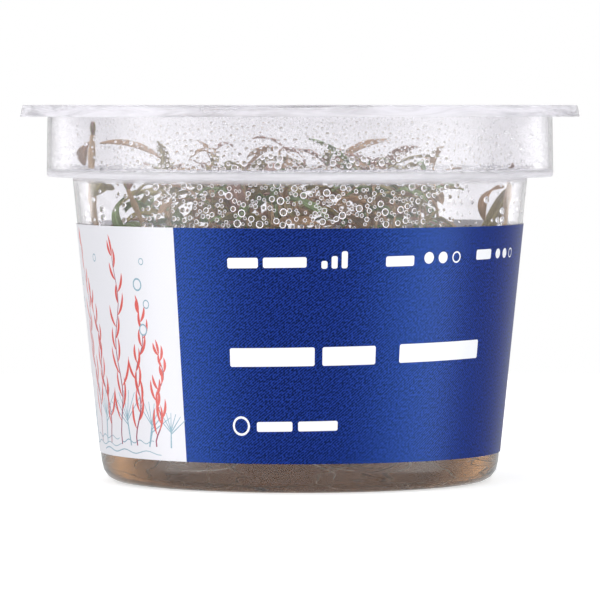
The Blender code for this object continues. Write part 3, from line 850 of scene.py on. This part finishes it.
def tube(bm, line, radii, roundness=3):
    """Add a closed round tube along a line to a bmesh."""
    curve = bpy.data.curves.new("tube", "CURVE")
    curve.dimensions = "3D"
    curve.bevel_depth = 1.0
    curve.bevel_resolution = roundness
    curve.use_fill_caps = True
    path = curve.splines.new("POLY")
    path.points.add(len(line) - 1)
    for point, spot, radius in zip(path.points, line, radii):
        point.co = (*spot, 1.0)
        point.radius = radius
    carrier = bpy.data.objects.new("tube", curve)
    mesh = bpy.data.meshes.new_from_object(carrier)
    bm.from_mesh(mesh)
    bpy.data.objects.remove(carrier)
    bpy.data.curves.remove(curve)
    bpy.data.meshes.remove(mesh)


Leaf = namedtuple("Leaf", "base turn rise droop length width")


def leaf_spot(leaf, over, along):
    """Spot and normal at a share of a leaf's length, as it rises from its base and bends over in an arc."""
    heading = level_way(leaf.turn)
    bend = max(leaf.droop, 0.02)
    slope = leaf.rise - bend * along
    forward = leaf.length / bend * (math.sin(leaf.rise) - math.sin(slope))
    upward = leaf.length / bend * (math.cos(slope) - math.cos(leaf.rise))
    return leaf.base + heading * forward + over * upward, over * math.cos(slope) - heading * math.sin(slope)


def is_inside(leaf):
    """True where a leaf stays inside the cup, above the gel and out of the open column."""
    tip = leaf_spot(leaf, UP, 1.0)[0]
    middle, normal = leaf_spot(leaf, UP, SHOOT_LEAF_WIDEST)
    side = UP.cross(level_way(leaf.turn)) * leaf.width / 2
    skin = normal * 0.4 * MM
    for spot in (leaf.base, tip, middle + side, middle - side, middle + skin, middle - skin):
        if not GEL_TOP + LEAF_TO_GEL < spot.z < PLANT_CEILING:
            return False
        if math.hypot(spot.x, spot.y) > inner_radius(spot.z) - LEAF_TO_WALL:
            return False
        if max(abs(spot.x), abs(spot.y)) < OPEN_HALF_COLUMN:
            return False
    return True


def grow_leaf(bm, leaf, roll, ink, chance, thickness=0.22 * MM):
    """Add a thin lance-shaped leaf with a folded midrib and wavy edges to a bmesh."""
    sheet = bmesh.new()
    bmesh.ops.create_grid(sheet, x_segments=4, y_segments=10, size=0.5)
    heading = level_way(leaf.turn)
    over = Matrix.Rotation(roll, 3, heading) @ UP
    side = over.cross(heading)
    phase = chance.uniform(0, 6)
    blade = sheet.loops.layers.uv.new("blade")
    for face in sheet.faces:
        face.material_index = ink
        for loop in face.loops:
            loop[blade].uv = (abs(loop.vert.co.x) * 2, loop.vert.co.y + 0.5)
    for vert in sheet.verts:
        along, across = vert.co.y + 0.5, vert.co.x * 2
        spot, normal = leaf_spot(leaf, over, along)
        half = leaf.width / 2 * (0.1 + 1.8 * along ** 0.75 * (1 - along) ** 0.85)
        if along > 0.999:
            half *= 0.15
        wave = 0.21 * math.sin(along * 14 + phase + across) * across ** 2
        vert.co = spot + half * (side * across + normal * (0.28 * abs(across) + wave))
    sheet.normal_update()
    bmesh.ops.solidify(sheet, geom=list(sheet.faces), thickness=thickness)
    mesh = bpy.data.meshes.new("leaf")
    sheet.to_mesh(mesh)
    sheet.free()
    bm.from_mesh(mesh)
    bpy.data.meshes.remove(mesh)


def leaf_materials(settings):
    """Skins of the leaves in the order of their colour numbers."""
    names = ("green", "olive", "bronze", "rose")
    return [leaf_skin(f"{name}_leaf", getattr(settings, name)) for name in names]


class PLANTCUP_OT_stems(bpy.types.Operator):
    """Build the main stems with their joints, and their roots in the gel"""
    bl_idname = "plantcup.stems"
    bl_label = "Stems and roots"

    def execute(self, context):
        settings = context.scene.plant_settings
        skin = stem_skin("young_stem", settings.stem, 900.0)
        root_skin = stem_skin("young_root", settings.root, 700.0)
        chance = random.Random(3)
        for number, plantlet in enumerate(PLANTLETS, start=1):
            line = stem_line(number)
            line.insert(0, line[0] - Vector((0, 0, ROOT_DEPTH)))
            count = len(line) - 1
            radii = []
            for index in range(count + 1):
                share = index / count
                joint = max(math.exp(-((share - spot) / JOINT_REACH) ** 2) for spot in STEM_JOINTS)
                radii.append(plantlet.girth * MM / 2 * (1.0 - STEM_TAPER * share) + JOINT_SWELL * joint)
            bm = bmesh.new()
            tube(bm, line, radii)
            add_piece(f"plant_stem_{number}", bm, [skin], [f"stem_{number}"])
            bm = bmesh.new()
            for root in range(ROOTS_EACH):
                path = smooth_line(self.root_line(line[0], root, chance), 4)
                last = len(path) - 1
                tube(bm, path, [ROOT_RADIUS * (1.1 - 0.7 * step / last) for step in range(last + 1)], 1)
            add_piece(f"roots_{number}", bm, [root_skin])
        return {"FINISHED"}

    def root_line(self, foot, root, chance):
        """Points along a root that sinks and curls away from a stem's foot, kept inside the cup."""
        turn = 2 * math.pi * root / ROOTS_EACH + chance.uniform(-0.5, 0.5)
        reach, depth, curl = chance.uniform(9, 20) * MM, chance.uniform(0.3, 0.95), chance.uniform(-1, 1)
        path = []
        for step in range(7):
            share = step / 6
            spot = foot + level_way(turn + curl * share + 0.2 * math.sin(7 * share + root)) * reach * share
            spot.z = foot.z - (foot.z - 2 * MM) * depth * math.sin(1.5 * share)
            limit = inner_radius(spot.z) - ROOT_TO_WALL
            flat = math.hypot(spot.x, spot.y)
            if flat > limit:
                spot.x *= limit / flat
                spot.y *= limit / flat
            path.append(spot)
        return path


class PLANTCUP_OT_leaves(bpy.types.Operator):
    """Build the leaves of the main stems from their CAD solids"""
    bl_idname = "plantcup.leaves"
    bl_label = "Leaves"

    def execute(self, context):
        materials = leaf_materials(context.scene.plant_settings)
        for number, colours in enumerate(LEAF_COLOURS, start=1):
            stem = stem_line(number)
            for leaf, colour in enumerate(colours, start=1):
                node = f"leaf_{number}_{leaf}"
                bm = merged_copy(node)
                self.map_blade(bm, stem)
                piece = add_piece(f"blade_{number}_{leaf}", bm, [materials[colour]], [node])
                smooth = piece.modifiers.new("Smooth", "SUBSURF")
                smooth.levels = smooth.render_levels = 2
        return {"FINISHED"}

    def map_blade(self, bm, stem):
        """Lay the blade map over a leaf: across from its midrib, and along from its foot."""
        foot = min(bm.verts, key=lambda vert: min((vert.co - spot).length for spot in stem))
        far = max((vert.co - foot.co).length for vert in bm.verts)
        blade = bm.loops.layers.uv.new("blade")
        bm.normal_update()
        for face in bm.faces:
            for loop in face.loops:
                edge_angles = [edge.calc_face_angle(0.0) for edge in loop.vert.link_edges]
                margin = 1.0 if max(edge_angles) > math.radians(60) else 0.0
                loop[blade].uv = (margin, (loop.vert.co - foot.co).length / far)


class PLANTCUP_OT_buds(bpy.types.Operator):
    """Grow the young leaves that close the tips of the main stems"""
    bl_idname = "plantcup.buds"
    bl_label = "Tip buds"

    def execute(self, context):
        chance = random.Random(8)
        bm = bmesh.new()
        for number in range(1, len(PLANTLETS) + 1):
            tip = stem_line(number)[-1] - UP * 0.3 * MM
            turn = chance.uniform(0, math.pi)
            for index in range(6):
                turn += math.pi if index % 2 else math.pi / 2 + 0.2
                pair = index // 2
                length = (3.4 + 1.5 * pair) * MM
                outward = tip + level_way(turn) * length
                rise, droop = 86 - 16 * pair, 40
                if math.hypot(tip.x, tip.y) > AT_WALL_RADIUS:
                    rise, droop, length = 88, 8, length * 0.6
                elif math.hypot(outward.x, outward.y) > inner_radius(outward.z) - LEAF_TO_WALL:
                    rise, length = 88, length * 0.5
                length = min(length, (BUD_CEILING - tip.z) * 1.1)
                leaf = Leaf(tip, turn, math.radians(rise), math.radians(droop), length, length * 0.34)
                grow_leaf(bm, leaf, chance.uniform(-0.3, 0.3), (GREEN, OLIVE, ROSE)[pair], chance)
        add_piece("tip_buds", bm, leaf_materials(context.scene.plant_settings))
        return {"FINISHED"}


class PLANTCUP_OT_sprigs(bpy.types.Operator):
    """Grow the leafy side shoots of each main stem, with thinner sprigs beside them"""
    bl_idname = "plantcup.sprigs"
    bl_label = "Side shoots and sprigs"

    def execute(self, context):
        settings = context.scene.plant_settings
        materials = leaf_materials(settings) + [stem_skin("sprig_stem", settings.stem, 900.0)]
        chance = random.Random(21)
        for number in range(1, len(PLANTLETS) + 1):
            bm = bmesh.new()
            for index, shoot in enumerate(SHOOTS):
                if shoot.stem == number:
                    self.grow_shoot(bm, index, shoot, chance, settings)
            add_piece(f"sprigs_{number}", bm, materials, [f"stem_{number}"])
        return {"FINISHED"}

    def grow_shoot(self, bm, index, shoot, chance, settings):
        """One side shoot where the solids have it, with more leaves, and the thin sprigs beside it."""
        foot = point_along(stem_line(shoot.stem), shoot.leave)
        top = polar(shoot.top_radius * MM, shoot.top_turn, shoot.top_height * MM)
        line = shoot_line(foot, top)
        self.add_stalk(bm, line, SHOOT_GIRTH / 2)
        family = chance.choice(FAMILIES)
        places = random.Random(index)
        for pair, share in enumerate(SHOOT_PAIRS[-shoot.pairs:]):
            for half_turn in (0, 180):
                turn = index * 40 + 90 * pair + half_turn
                rise, droop = math.radians(places.uniform(25, 50)), math.radians(places.uniform(60, 100))
                length = settings.leaf_length * places.uniform(0.8, 1.15)
                base = point_along(line, share)
                for shift in LEAF_SHIFTS:
                    leaf = Leaf(base, math.radians(turn + shift), rise, droop, length, SHOOT_LEAF_WIDTH)
                    if is_inside(leaf):
                        grow_leaf(bm, leaf, chance.uniform(-0.3, 0.3), self.shade(family, chance), chance)
                        break
        self.add_pairs(bm, line, SHOOT_EXTRA_PAIRS, family, chance, settings)
        for sprig in range(self.sprigs_beside(top, settings)):
            line = shoot_line(foot, self.sprig_end(top, sprig, chance))
            self.add_stalk(bm, line, SPRIG_RADIUS)
            self.add_pairs(bm, line, SPRIG_PAIRS, chance.choice(FAMILIES), chance, settings)

    def sprigs_beside(self, top, settings):
        """How many sprigs stand beside a shoot: none at the far left, where the wall shows, and few right."""
        if top.x < -24 * MM:
            return 0
        return settings.sprigs // 2 if top.x > 20 * MM else settings.sprigs

    def sprig_end(self, top, sprig, chance):
        """Where a sprig ends beside its shoot's top. One that is too far out or in is brought back."""
        aside = level_way(chance.uniform(0, 2 * math.pi)) * chance.uniform(4, 7) * MM
        lift = chance.uniform(2, 8) if sprig == 0 else chance.uniform(-7, 4)
        end = top + aside + UP * lift * MM
        end.z = min(end.z, SPRIG_CEILING)
        too_near = max(abs(end.x), abs(end.y)) < SPRIG_HALF_COLUMN
        if too_near or math.hypot(end.x, end.y) > SPRIG_FARTHEST:
            end = top - aside * 0.6
        return end

    def add_stalk(self, bm, line, radius):
        start = len(bm.faces)
        last = len(line) - 1
        tube(bm, line, [radius * (1.0 - STEM_TAPER * step / last) for step in range(last + 1)], 2)
        bm.faces.ensure_lookup_table()
        for face in bm.faces[start:]:
            face.material_index = STALK

    def shade(self, family, chance):
        """Most leaves of a sprig share one colour, and some take another."""
        return family if chance.random() < 0.7 else chance.choice((GREEN, OLIVE, BRONZE, ROSE))

    def add_pairs(self, bm, line, shares, family, chance, settings):
        """Pairs of leaves up a sprig, each about a quarter turn on from the last and smaller."""
        turn = chance.uniform(0, math.pi)
        for pair, share in enumerate(shares):
            turn += math.pi / 2 + chance.uniform(-0.3, 0.3)
            length = settings.leaf_length * (chance.uniform(0.8, 1.2) * (1 - 0.07 * pair))
            for half_turn in (0, math.pi):
                self.fit_leaf(bm, point_along(line, share), turn + half_turn, length, family, chance)

    def fit_leaf(self, bm, spot, turn, length, family, chance):
        """One leaf of a sprig, turned or bent until it stays inside the cup."""
        width = length * chance.uniform(0.26, 0.36)
        for attempt in range(8):
            rise, droop = math.radians(chance.uniform(10, 65)), math.radians(chance.uniform(30, 110))
            aim = turn + chance.uniform(-0.4, 0.4) * (1 + attempt * 0.5)
            leaf = Leaf(spot, aim, rise, droop, length, width)
            if is_inside(leaf):
                grow_leaf(bm, leaf, chance.uniform(-0.6, 0.6), self.shade(family, chance), chance)
                return


def drop_template(sides, rings):
    """Half a ball on a flat base, with its base at the origin and its crown along +Z."""
    bm = bmesh.new()
    bmesh.ops.create_uvsphere(bm, u_segments=sides, v_segments=rings * 2, radius=1.0)
    bmesh.ops.bisect_plane(bm, geom=list(bm.verts) + list(bm.edges) + list(bm.faces), plane_co=(0, 0, 0),
                           plane_no=(0, 0, 1), clear_inner=True)
    bmesh.ops.contextual_create(bm, geom=[edge for edge in bm.edges if edge.is_boundary])
    bmesh.ops.recalc_face_normals(bm, faces=bm.faces)
    mesh = bpy.data.meshes.new("drop")
    bm.to_mesh(mesh)
    bm.free()
    return mesh


def add_drop(bm, template, place, crown, upright, width, height, depth):
    """Add one drop: its crown points off the surface, and its height runs along upright."""
    side = upright.cross(crown).normalized()
    upright = crown.cross(side).normalized()
    turn = Matrix((side * width / 2, upright * height / 2, crown * depth)).transposed().to_4x4()
    copy = template.copy()
    copy.transform(Matrix.Translation(place) @ turn)
    bm.from_mesh(copy)
    bpy.data.meshes.remove(copy)


class TakenSpots:
    """Flat places that drops have taken, found again by the square cells that they lie in."""

    def __init__(self, cell):
        self.cell = cell
        self.cells = {}

    def home(self, flat):
        return int(flat[0] // self.cell), int(flat[1] // self.cell)

    def take(self, flat, size):
        self.cells.setdefault(self.home(flat), []).append((*flat, size))

    def is_free(self, flat, size):
        """True where a drop of this size touches no other. Only the next cells are searched."""
        column, row = self.home(flat)
        near = [other for dx in (-1, 0, 1) for dy in (-1, 0, 1)
                for other in self.cells.get((column + dx, row + dy), ())]
        return all(math.hypot(flat[0] - x, flat[1] - y) >= (size + width) * DROP_SPACE
                   for x, y, width in near)


def scatter(chance, count, pick, spacing):
    """Spots, each with its drop's size, that keep clear of each other.

    pick gives a spot, its flat place and a size, or nothing. The spacing is at least the largest size.
    """
    kept = []
    taken = TakenSpots(spacing)
    for _ in range(count):
        found = pick(chance)
        if found and taken.is_free(*found[1:]):
            taken.take(*found[1:])
            kept.append((found[0], found[2]))
    return kept


def flat_place(spot):
    """Place of a wall spot, given as an angle and a height, on the wall laid flat."""
    return spot[0] * WALL_ARC, spot[1]


def clear_of(spots, larger):
    """The wall spots that touch none of the larger drops. Both rows hold ((angle, height), size)."""
    taken = TakenSpots(2 * MM)
    for spot, size in larger:
        taken.take(flat_place(spot), size)
    return [(spot, size) for spot, size in spots if taken.is_free(flat_place(spot), size)]


def wetness(angle):
    """How wet the wall is at an angle from the front: most in the middle and behind, least at the sides."""
    degrees = math.degrees(angle)
    middle = math.exp(-((degrees + 3) / 36) ** 6)
    back = 0.9 * math.exp(-((180 - abs(degrees)) / 45) ** 4)
    return max(middle, back, 0.05)


def run_side(angle):
    """Share of long thin drops at an angle: they stand on the right of the rim section alone."""
    return math.exp(-((math.degrees(angle) - 52) / 30) ** 4)


def wall_spots(chance, count, low, high, smallest, largest, spacing, share_at=wetness):
    """Spots on the wall between two heights, each with a drop's size; drops grow towards the ledge."""
    def pick(source):
        angle = source.uniform(-math.pi, math.pi)
        height = source.uniform(low, high)
        if abs(height - LEDGE_TOP) < 1.2 * MM or source.random() > share_at(angle):
            return None
        size = smallest + (largest - smallest) * source.random() ** 1.8
        size *= 1 - 0.45 * max(0.0, (height - LEDGE_TOP) / (CUP_TOP - LEDGE_TOP))
        return (angle, height), flat_place((angle, height)), size

    return scatter(chance, count, pick, spacing)


def drops_on_wall(name, spots, water, sides, rings, slimness=1.0, depth=0.42):
    """Drops at spots on the wall, as one piece; slimness is the height of a drop for its width."""
    template = drop_template(sides, rings)
    bm = bmesh.new()
    for (angle, height), size in spots:
        place = around(inner_radius(height) - 0.02 * MM, angle, height)
        add_drop(bm, template, place, -around(1.0, angle, 0.0), UP, size, size * slimness, size * depth)
    add_piece(name, bm, [water])
    bpy.data.meshes.remove(template)


class PLANTCUP_OT_water(bpy.types.Operator):
    """Condense the water: drops on the wall and under the lid, mist on the rim section, water on the ledge"""
    bl_idname = "plantcup.water"
    bl_label = "Condensed water"

    def execute(self, context):
        settings = context.scene.water_settings
        water = still_water("condensed_water")
        larger = self.wall_drops(settings, water)
        self.mist(settings, water, larger)
        self.lid_drops(settings, water)
        self.ledge_water(water)
        return {"FINISHED"}

    def wall_drops(self, settings, water):
        """Drops on the wall and foam on the ledge. The drops above the label are returned."""
        chance = random.Random(5)
        count, label_edge = settings.wall_drops, LABEL_TOP - 1 * MM
        upper = wall_spots(chance, count * 7, label_edge, CUP_TOP - 2.5 * MM, 0.65 * MM, 1.55 * MM, 1.65 * MM)
        lower = wall_spots(chance, count, GEL_TOP + 2 * MM, label_edge, 0.8 * MM, 2.0 * MM, 2.2 * MM)
        drops_on_wall("wall_drops", upper, water, 12, 4, 1.04)
        drops_on_wall("drops_behind_label", lower, water, 12, 4, 1.04)
        foam = []
        for _ in range(FOAM_BEADS):
            angle, height = chance.uniform(-math.pi, math.pi), chance.uniform(0.15, 1.15) ** 1.3
            foam.append(((angle, LEDGE_TOP + height * MM), chance.uniform(0.3, 0.7) * MM))
        drops_on_wall("ledge_foam", foam, water, 8, 3, 0.9, 0.5)
        right = wall_spots(chance, count, COLLAR_BOTTOM, CUP_TOP - 3 * MM, 0.28 * MM, 0.5 * MM, 1.2 * MM,
                           run_side)
        right = clear_of(right, upper)
        drops_on_wall("long_drops", right, water, 8, 3, 1.9, 0.5)
        return upper + right

    def mist(self, settings, water, larger):
        spots = wall_spots(random.Random(6), settings.mist, COLLAR_BOTTOM + 2 * MM, CUP_TOP - 0.6 * MM,
                           0.35 * MM, 0.8 * MM, 0.8 * MM)
        spots = clear_of(spots, larger)
        for name, front in (("front_mist", True), ("back_mist", False)):
            chosen = [spot for spot in spots if (abs(spot[0][0]) < math.pi / 2) is front]
            drops_on_wall(name, chosen, water, 6, 2)

    def lid_drops(self, settings, water):
        template = drop_template(9, 3)

        def pick(source):
            radius, turn = 46.5 * MM * math.sqrt(source.random()), source.uniform(0, 2 * math.pi)
            spot = level_way(turn) * radius
            return spot, (spot.x, spot.y), 0.6 * MM + 2.2 * MM * source.random() ** 3

        bm = bmesh.new()
        under = LID_TOP - 0.74 * MM
        for spot, size in scatter(random.Random(7), settings.lid_drops, pick, 2.9 * MM):
            place = Vector((spot.x, spot.y, under))
            add_drop(bm, template, place, -UP, Vector((0, 1, 0)), size, size, size * 0.28)
        add_piece("lid_drops", bm, [water])
        bpy.data.meshes.remove(template)

    def ledge_water(self, water):
        """Ring of water on the ledge: its inner edge and surface are uneven, and it climbs the outer wall."""
        inner, outer = inner_radius(LEDGE_TOP) + 0.5 * MM, COLLAR_RADIUS_LOW - WALL - 0.05 * MM
        low, high = LEDGE_TOP + 0.03 * MM, LEDGE_TOP + 0.5 * MM
        bm = turned([
            (outer, low), (inner, low), (inner - 0.12 * MM, low + (high - low) * 0.4),
            (inner + 0.35 * MM, high - 0.08 * MM), ((inner + outer) / 2, high),
            (outer - 0.5 * MM, high + 0.1 * MM), (outer, high + 0.5 * MM)], FINE_STEPS, closed=True)
        for vert in bm.verts:
            radius, angle = radius_and_angle(vert)
            rough = math.sin(7 * angle) + 0.6 * math.sin(19 * angle + 1) + 0.35 * math.sin(41 * angle)
            if vert.co.z > LEDGE_TOP + 0.2 * MM:
                vert.co.z += 0.09 * MM * rough
            share = (outer - radius) / (outer - inner)
            pull(vert, 1 + share * (0.35 + 0.25 * rough) * MM / radius)
        add_piece("ledge_water", bm, [water])


class PLANTCUP_OT_stage(bpy.types.Operator):
    """Set the pale floor, the soft light and the camera"""
    bl_idname = "plantcup.stage"
    bl_label = "Stage"

    def execute(self, context):
        settings = context.scene.stage_settings
        self.floor(settings)
        self.surroundings(context.scene)
        self.camera(context.scene, settings)
        self.light_paths(context.scene)
        return {"FINISHED"}

    def floor(self, settings):
        bm = bmesh.new()
        bmesh.ops.create_circle(bm, cap_ends=True, segments=96, radius=0.4)
        mesh = bpy.data.meshes.new("floor")
        bm.to_mesh(mesh)
        bm.free()
        material, tree = new_material("white_studio_floor")
        shader = add_node(tree, "BsdfPrincipled", {
            "Base Color": rgba(settings.floor), "Roughness": 0.7, "Emission Color": (1, 1, 1, 1),
            "Emission Strength": 0.55})
        add_node(tree, "OutputMaterial", {"Surface": shader})
        mesh.materials.append(material)
        floor = bpy.data.objects.new("floor", mesh)
        floor.visible_glossy = False
        bpy.context.scene.collection.objects.link(floor)

    def surroundings(self, scene):
        """Large soft light from the front left for the surfaces, strips beside the camera for their gloss,
        and a bright backdrop that shows through what is clear. Brightness depends on the kind of ray.
        """
        world = bpy.data.worlds.new("light_tent")
        world.use_nodes = True
        tree = world.node_tree
        tree.nodes.clear()
        way = add_node(tree, "TexCoord").outputs["Generated"]
        parts = add_node(tree, "SeparateXYZ", (way,))
        # From the camera's side, at 0, to the backdrop, at 1
        depth = add_node(tree, "MapRange", {"Value": parts.outputs["Y"], "From Min": -1.0})
        towards = add_node(tree, "VectorMath", (way, (-0.3, -0.75, 0.6)), operation="DOT_PRODUCT")
        soft = add_node(tree, "MapRange", {"Value": towards, "From Min": -0.3, "From Max": 0.3,
                                           "To Min": 0.12, "To Max": 1.0}, interpolation_type="SMOOTHSTEP")
        tent = ramp_over(tree, depth, ((0.0, 0.03), (0.5, 0.08), (0.85, 0.25), (0.97, 0.6)))
        upright = add_node(tree, "Math", (parts.outputs["Z"],), operation="ABSOLUTE")
        wide = add_node(tree, "MapRange", {"Value": upright, "From Min": 0.45, "From Max": 0.25},
                        interpolation_type="SMOOTHSTEP")
        strip = ramp_over(tree, depth, ((0.06, 0.0), (0.2, 0.7), (0.32, 1.0), (0.42, 0.9), (0.56, 0.08),
                                        (0.66, 0.01)))
        strips = add_node(tree, "Math", (wide, strip), operation="MULTIPLY")
        gloss = add_node(tree, "Math", (strips, 3.4, tent), operation="MULTIPLY_ADD")
        backdrop = ramp_over(tree, depth, ((0.0, 1.5), (0.35, 1.3), (0.5, 0.5), (0.66, 0.6), (0.78, 1.7),
                                           (0.87, 3.8), (0.935, 1.3), (0.965, 0.62), (0.992, 1.0)))
        rays = add_node(tree, "LightPath").outputs
        scattered = add_node(tree, "Math", (rays["Diffuse Depth"], 0.5), operation="GREATER_THAN")

        def pick(share, without, with_it):
            return add_node(tree, "Mix", {0: share, 2: without, 3: with_it}, data_type="FLOAT")

        outside = pick(rays["Is Diffuse Ray"], gloss, soft)
        inside = pick(scattered, backdrop, 2.5)
        through = pick(rays["Is Transmission Ray"], outside, inside)
        strength = pick(rays["Is Camera Ray"], through, 1.0)
        sky = add_node(tree, "Background", {"Color": (1, 1, 1, 1), "Strength": strength})
        add_node(tree, "OutputWorld", {"Surface": sky})
        scene.world = world

    def camera(self, scene, settings):
        lens = bpy.data.cameras.new("camera")
        lens.sensor_width = 36.0
        lens.lens = 300.0 * settings.distance
        lens.clip_start, lens.clip_end = 0.05, 50.0
        camera = bpy.data.objects.new("camera", lens)
        camera.location = (0.0, -settings.distance, 74.8 * MM)
        aim = Vector((0.0, 0.0, 36.0 * MM)) - camera.location
        camera.rotation_euler = aim.to_track_quat("-Z", "Y").to_euler()
        scene.collection.objects.link(camera)
        scene.camera = camera

    def light_paths(self, scene):
        scene.view_settings.view_transform = "Standard"
        scene.view_settings.look = "None"
        scene.cycles.max_bounces = 28
        scene.cycles.transmission_bounces = 28
        scene.cycles.glossy_bounces = 8
        scene.cycles.diffuse_bounces = 4
        scene.cycles.sample_clamp_indirect = 6.0


OPERATORS = (PLANTCUP_OT_cup, PLANTCUP_OT_lid, PLANTCUP_OT_label, PLANTCUP_OT_gel, PLANTCUP_OT_stems,
             PLANTCUP_OT_leaves, PLANTCUP_OT_buds, PLANTCUP_OT_sprigs, PLANTCUP_OT_water, PLANTCUP_OT_stage)
SETTINGS = {"cup_settings": CupSettings, "label_settings": LabelSettings, "gel_settings": GelSettings,
            "plant_settings": PlantSettings, "water_settings": WaterSettings, "stage_settings": StageSettings}


class VIEW3D_PT_plant_cup(bpy.types.Panel):
    """Lists the settings and the steps that build the cup"""
    bl_label = "Plant cup"
    bl_idname = "VIEW3D_PT_plant_cup"
    bl_space_type = "VIEW_3D"
    bl_region_type = "UI"
    bl_category = "Plant cup"

    def draw(self, context):
        for name, group in SETTINGS.items():
            box = self.layout.box()
            box.label(text=group.__doc__)
            for prop in group.__annotations__:
                box.prop(getattr(context.scene, name), prop)
        for operator in OPERATORS:
            self.layout.operator(operator.bl_idname)


def register():
    for name, group in SETTINGS.items():
        bpy.utils.register_class(group)
        setattr(bpy.types.Scene, name, PointerProperty(type=group))
    for each in (*OPERATORS, VIEW3D_PT_plant_cup):
        bpy.utils.register_class(each)


def unregister():
    for each in (VIEW3D_PT_plant_cup, *reversed(OPERATORS)):
        bpy.utils.unregister_class(each)
    for name, group in SETTINGS.items():
        delattr(bpy.types.Scene, name)
        bpy.utils.unregister_class(group)


def main():
    register()
    bpy.ops.plantcup.cup()
    bpy.ops.plantcup.lid()
    bpy.ops.plantcup.label()
    bpy.ops.plantcup.gel()
    bpy.ops.plantcup.stems()
    bpy.ops.plantcup.leaves()
    bpy.ops.plantcup.buds()
    bpy.ops.plantcup.sprigs()
    bpy.ops.plantcup.water()
    bpy.ops.plantcup.stage()


if __name__ == "__main__":
    main()
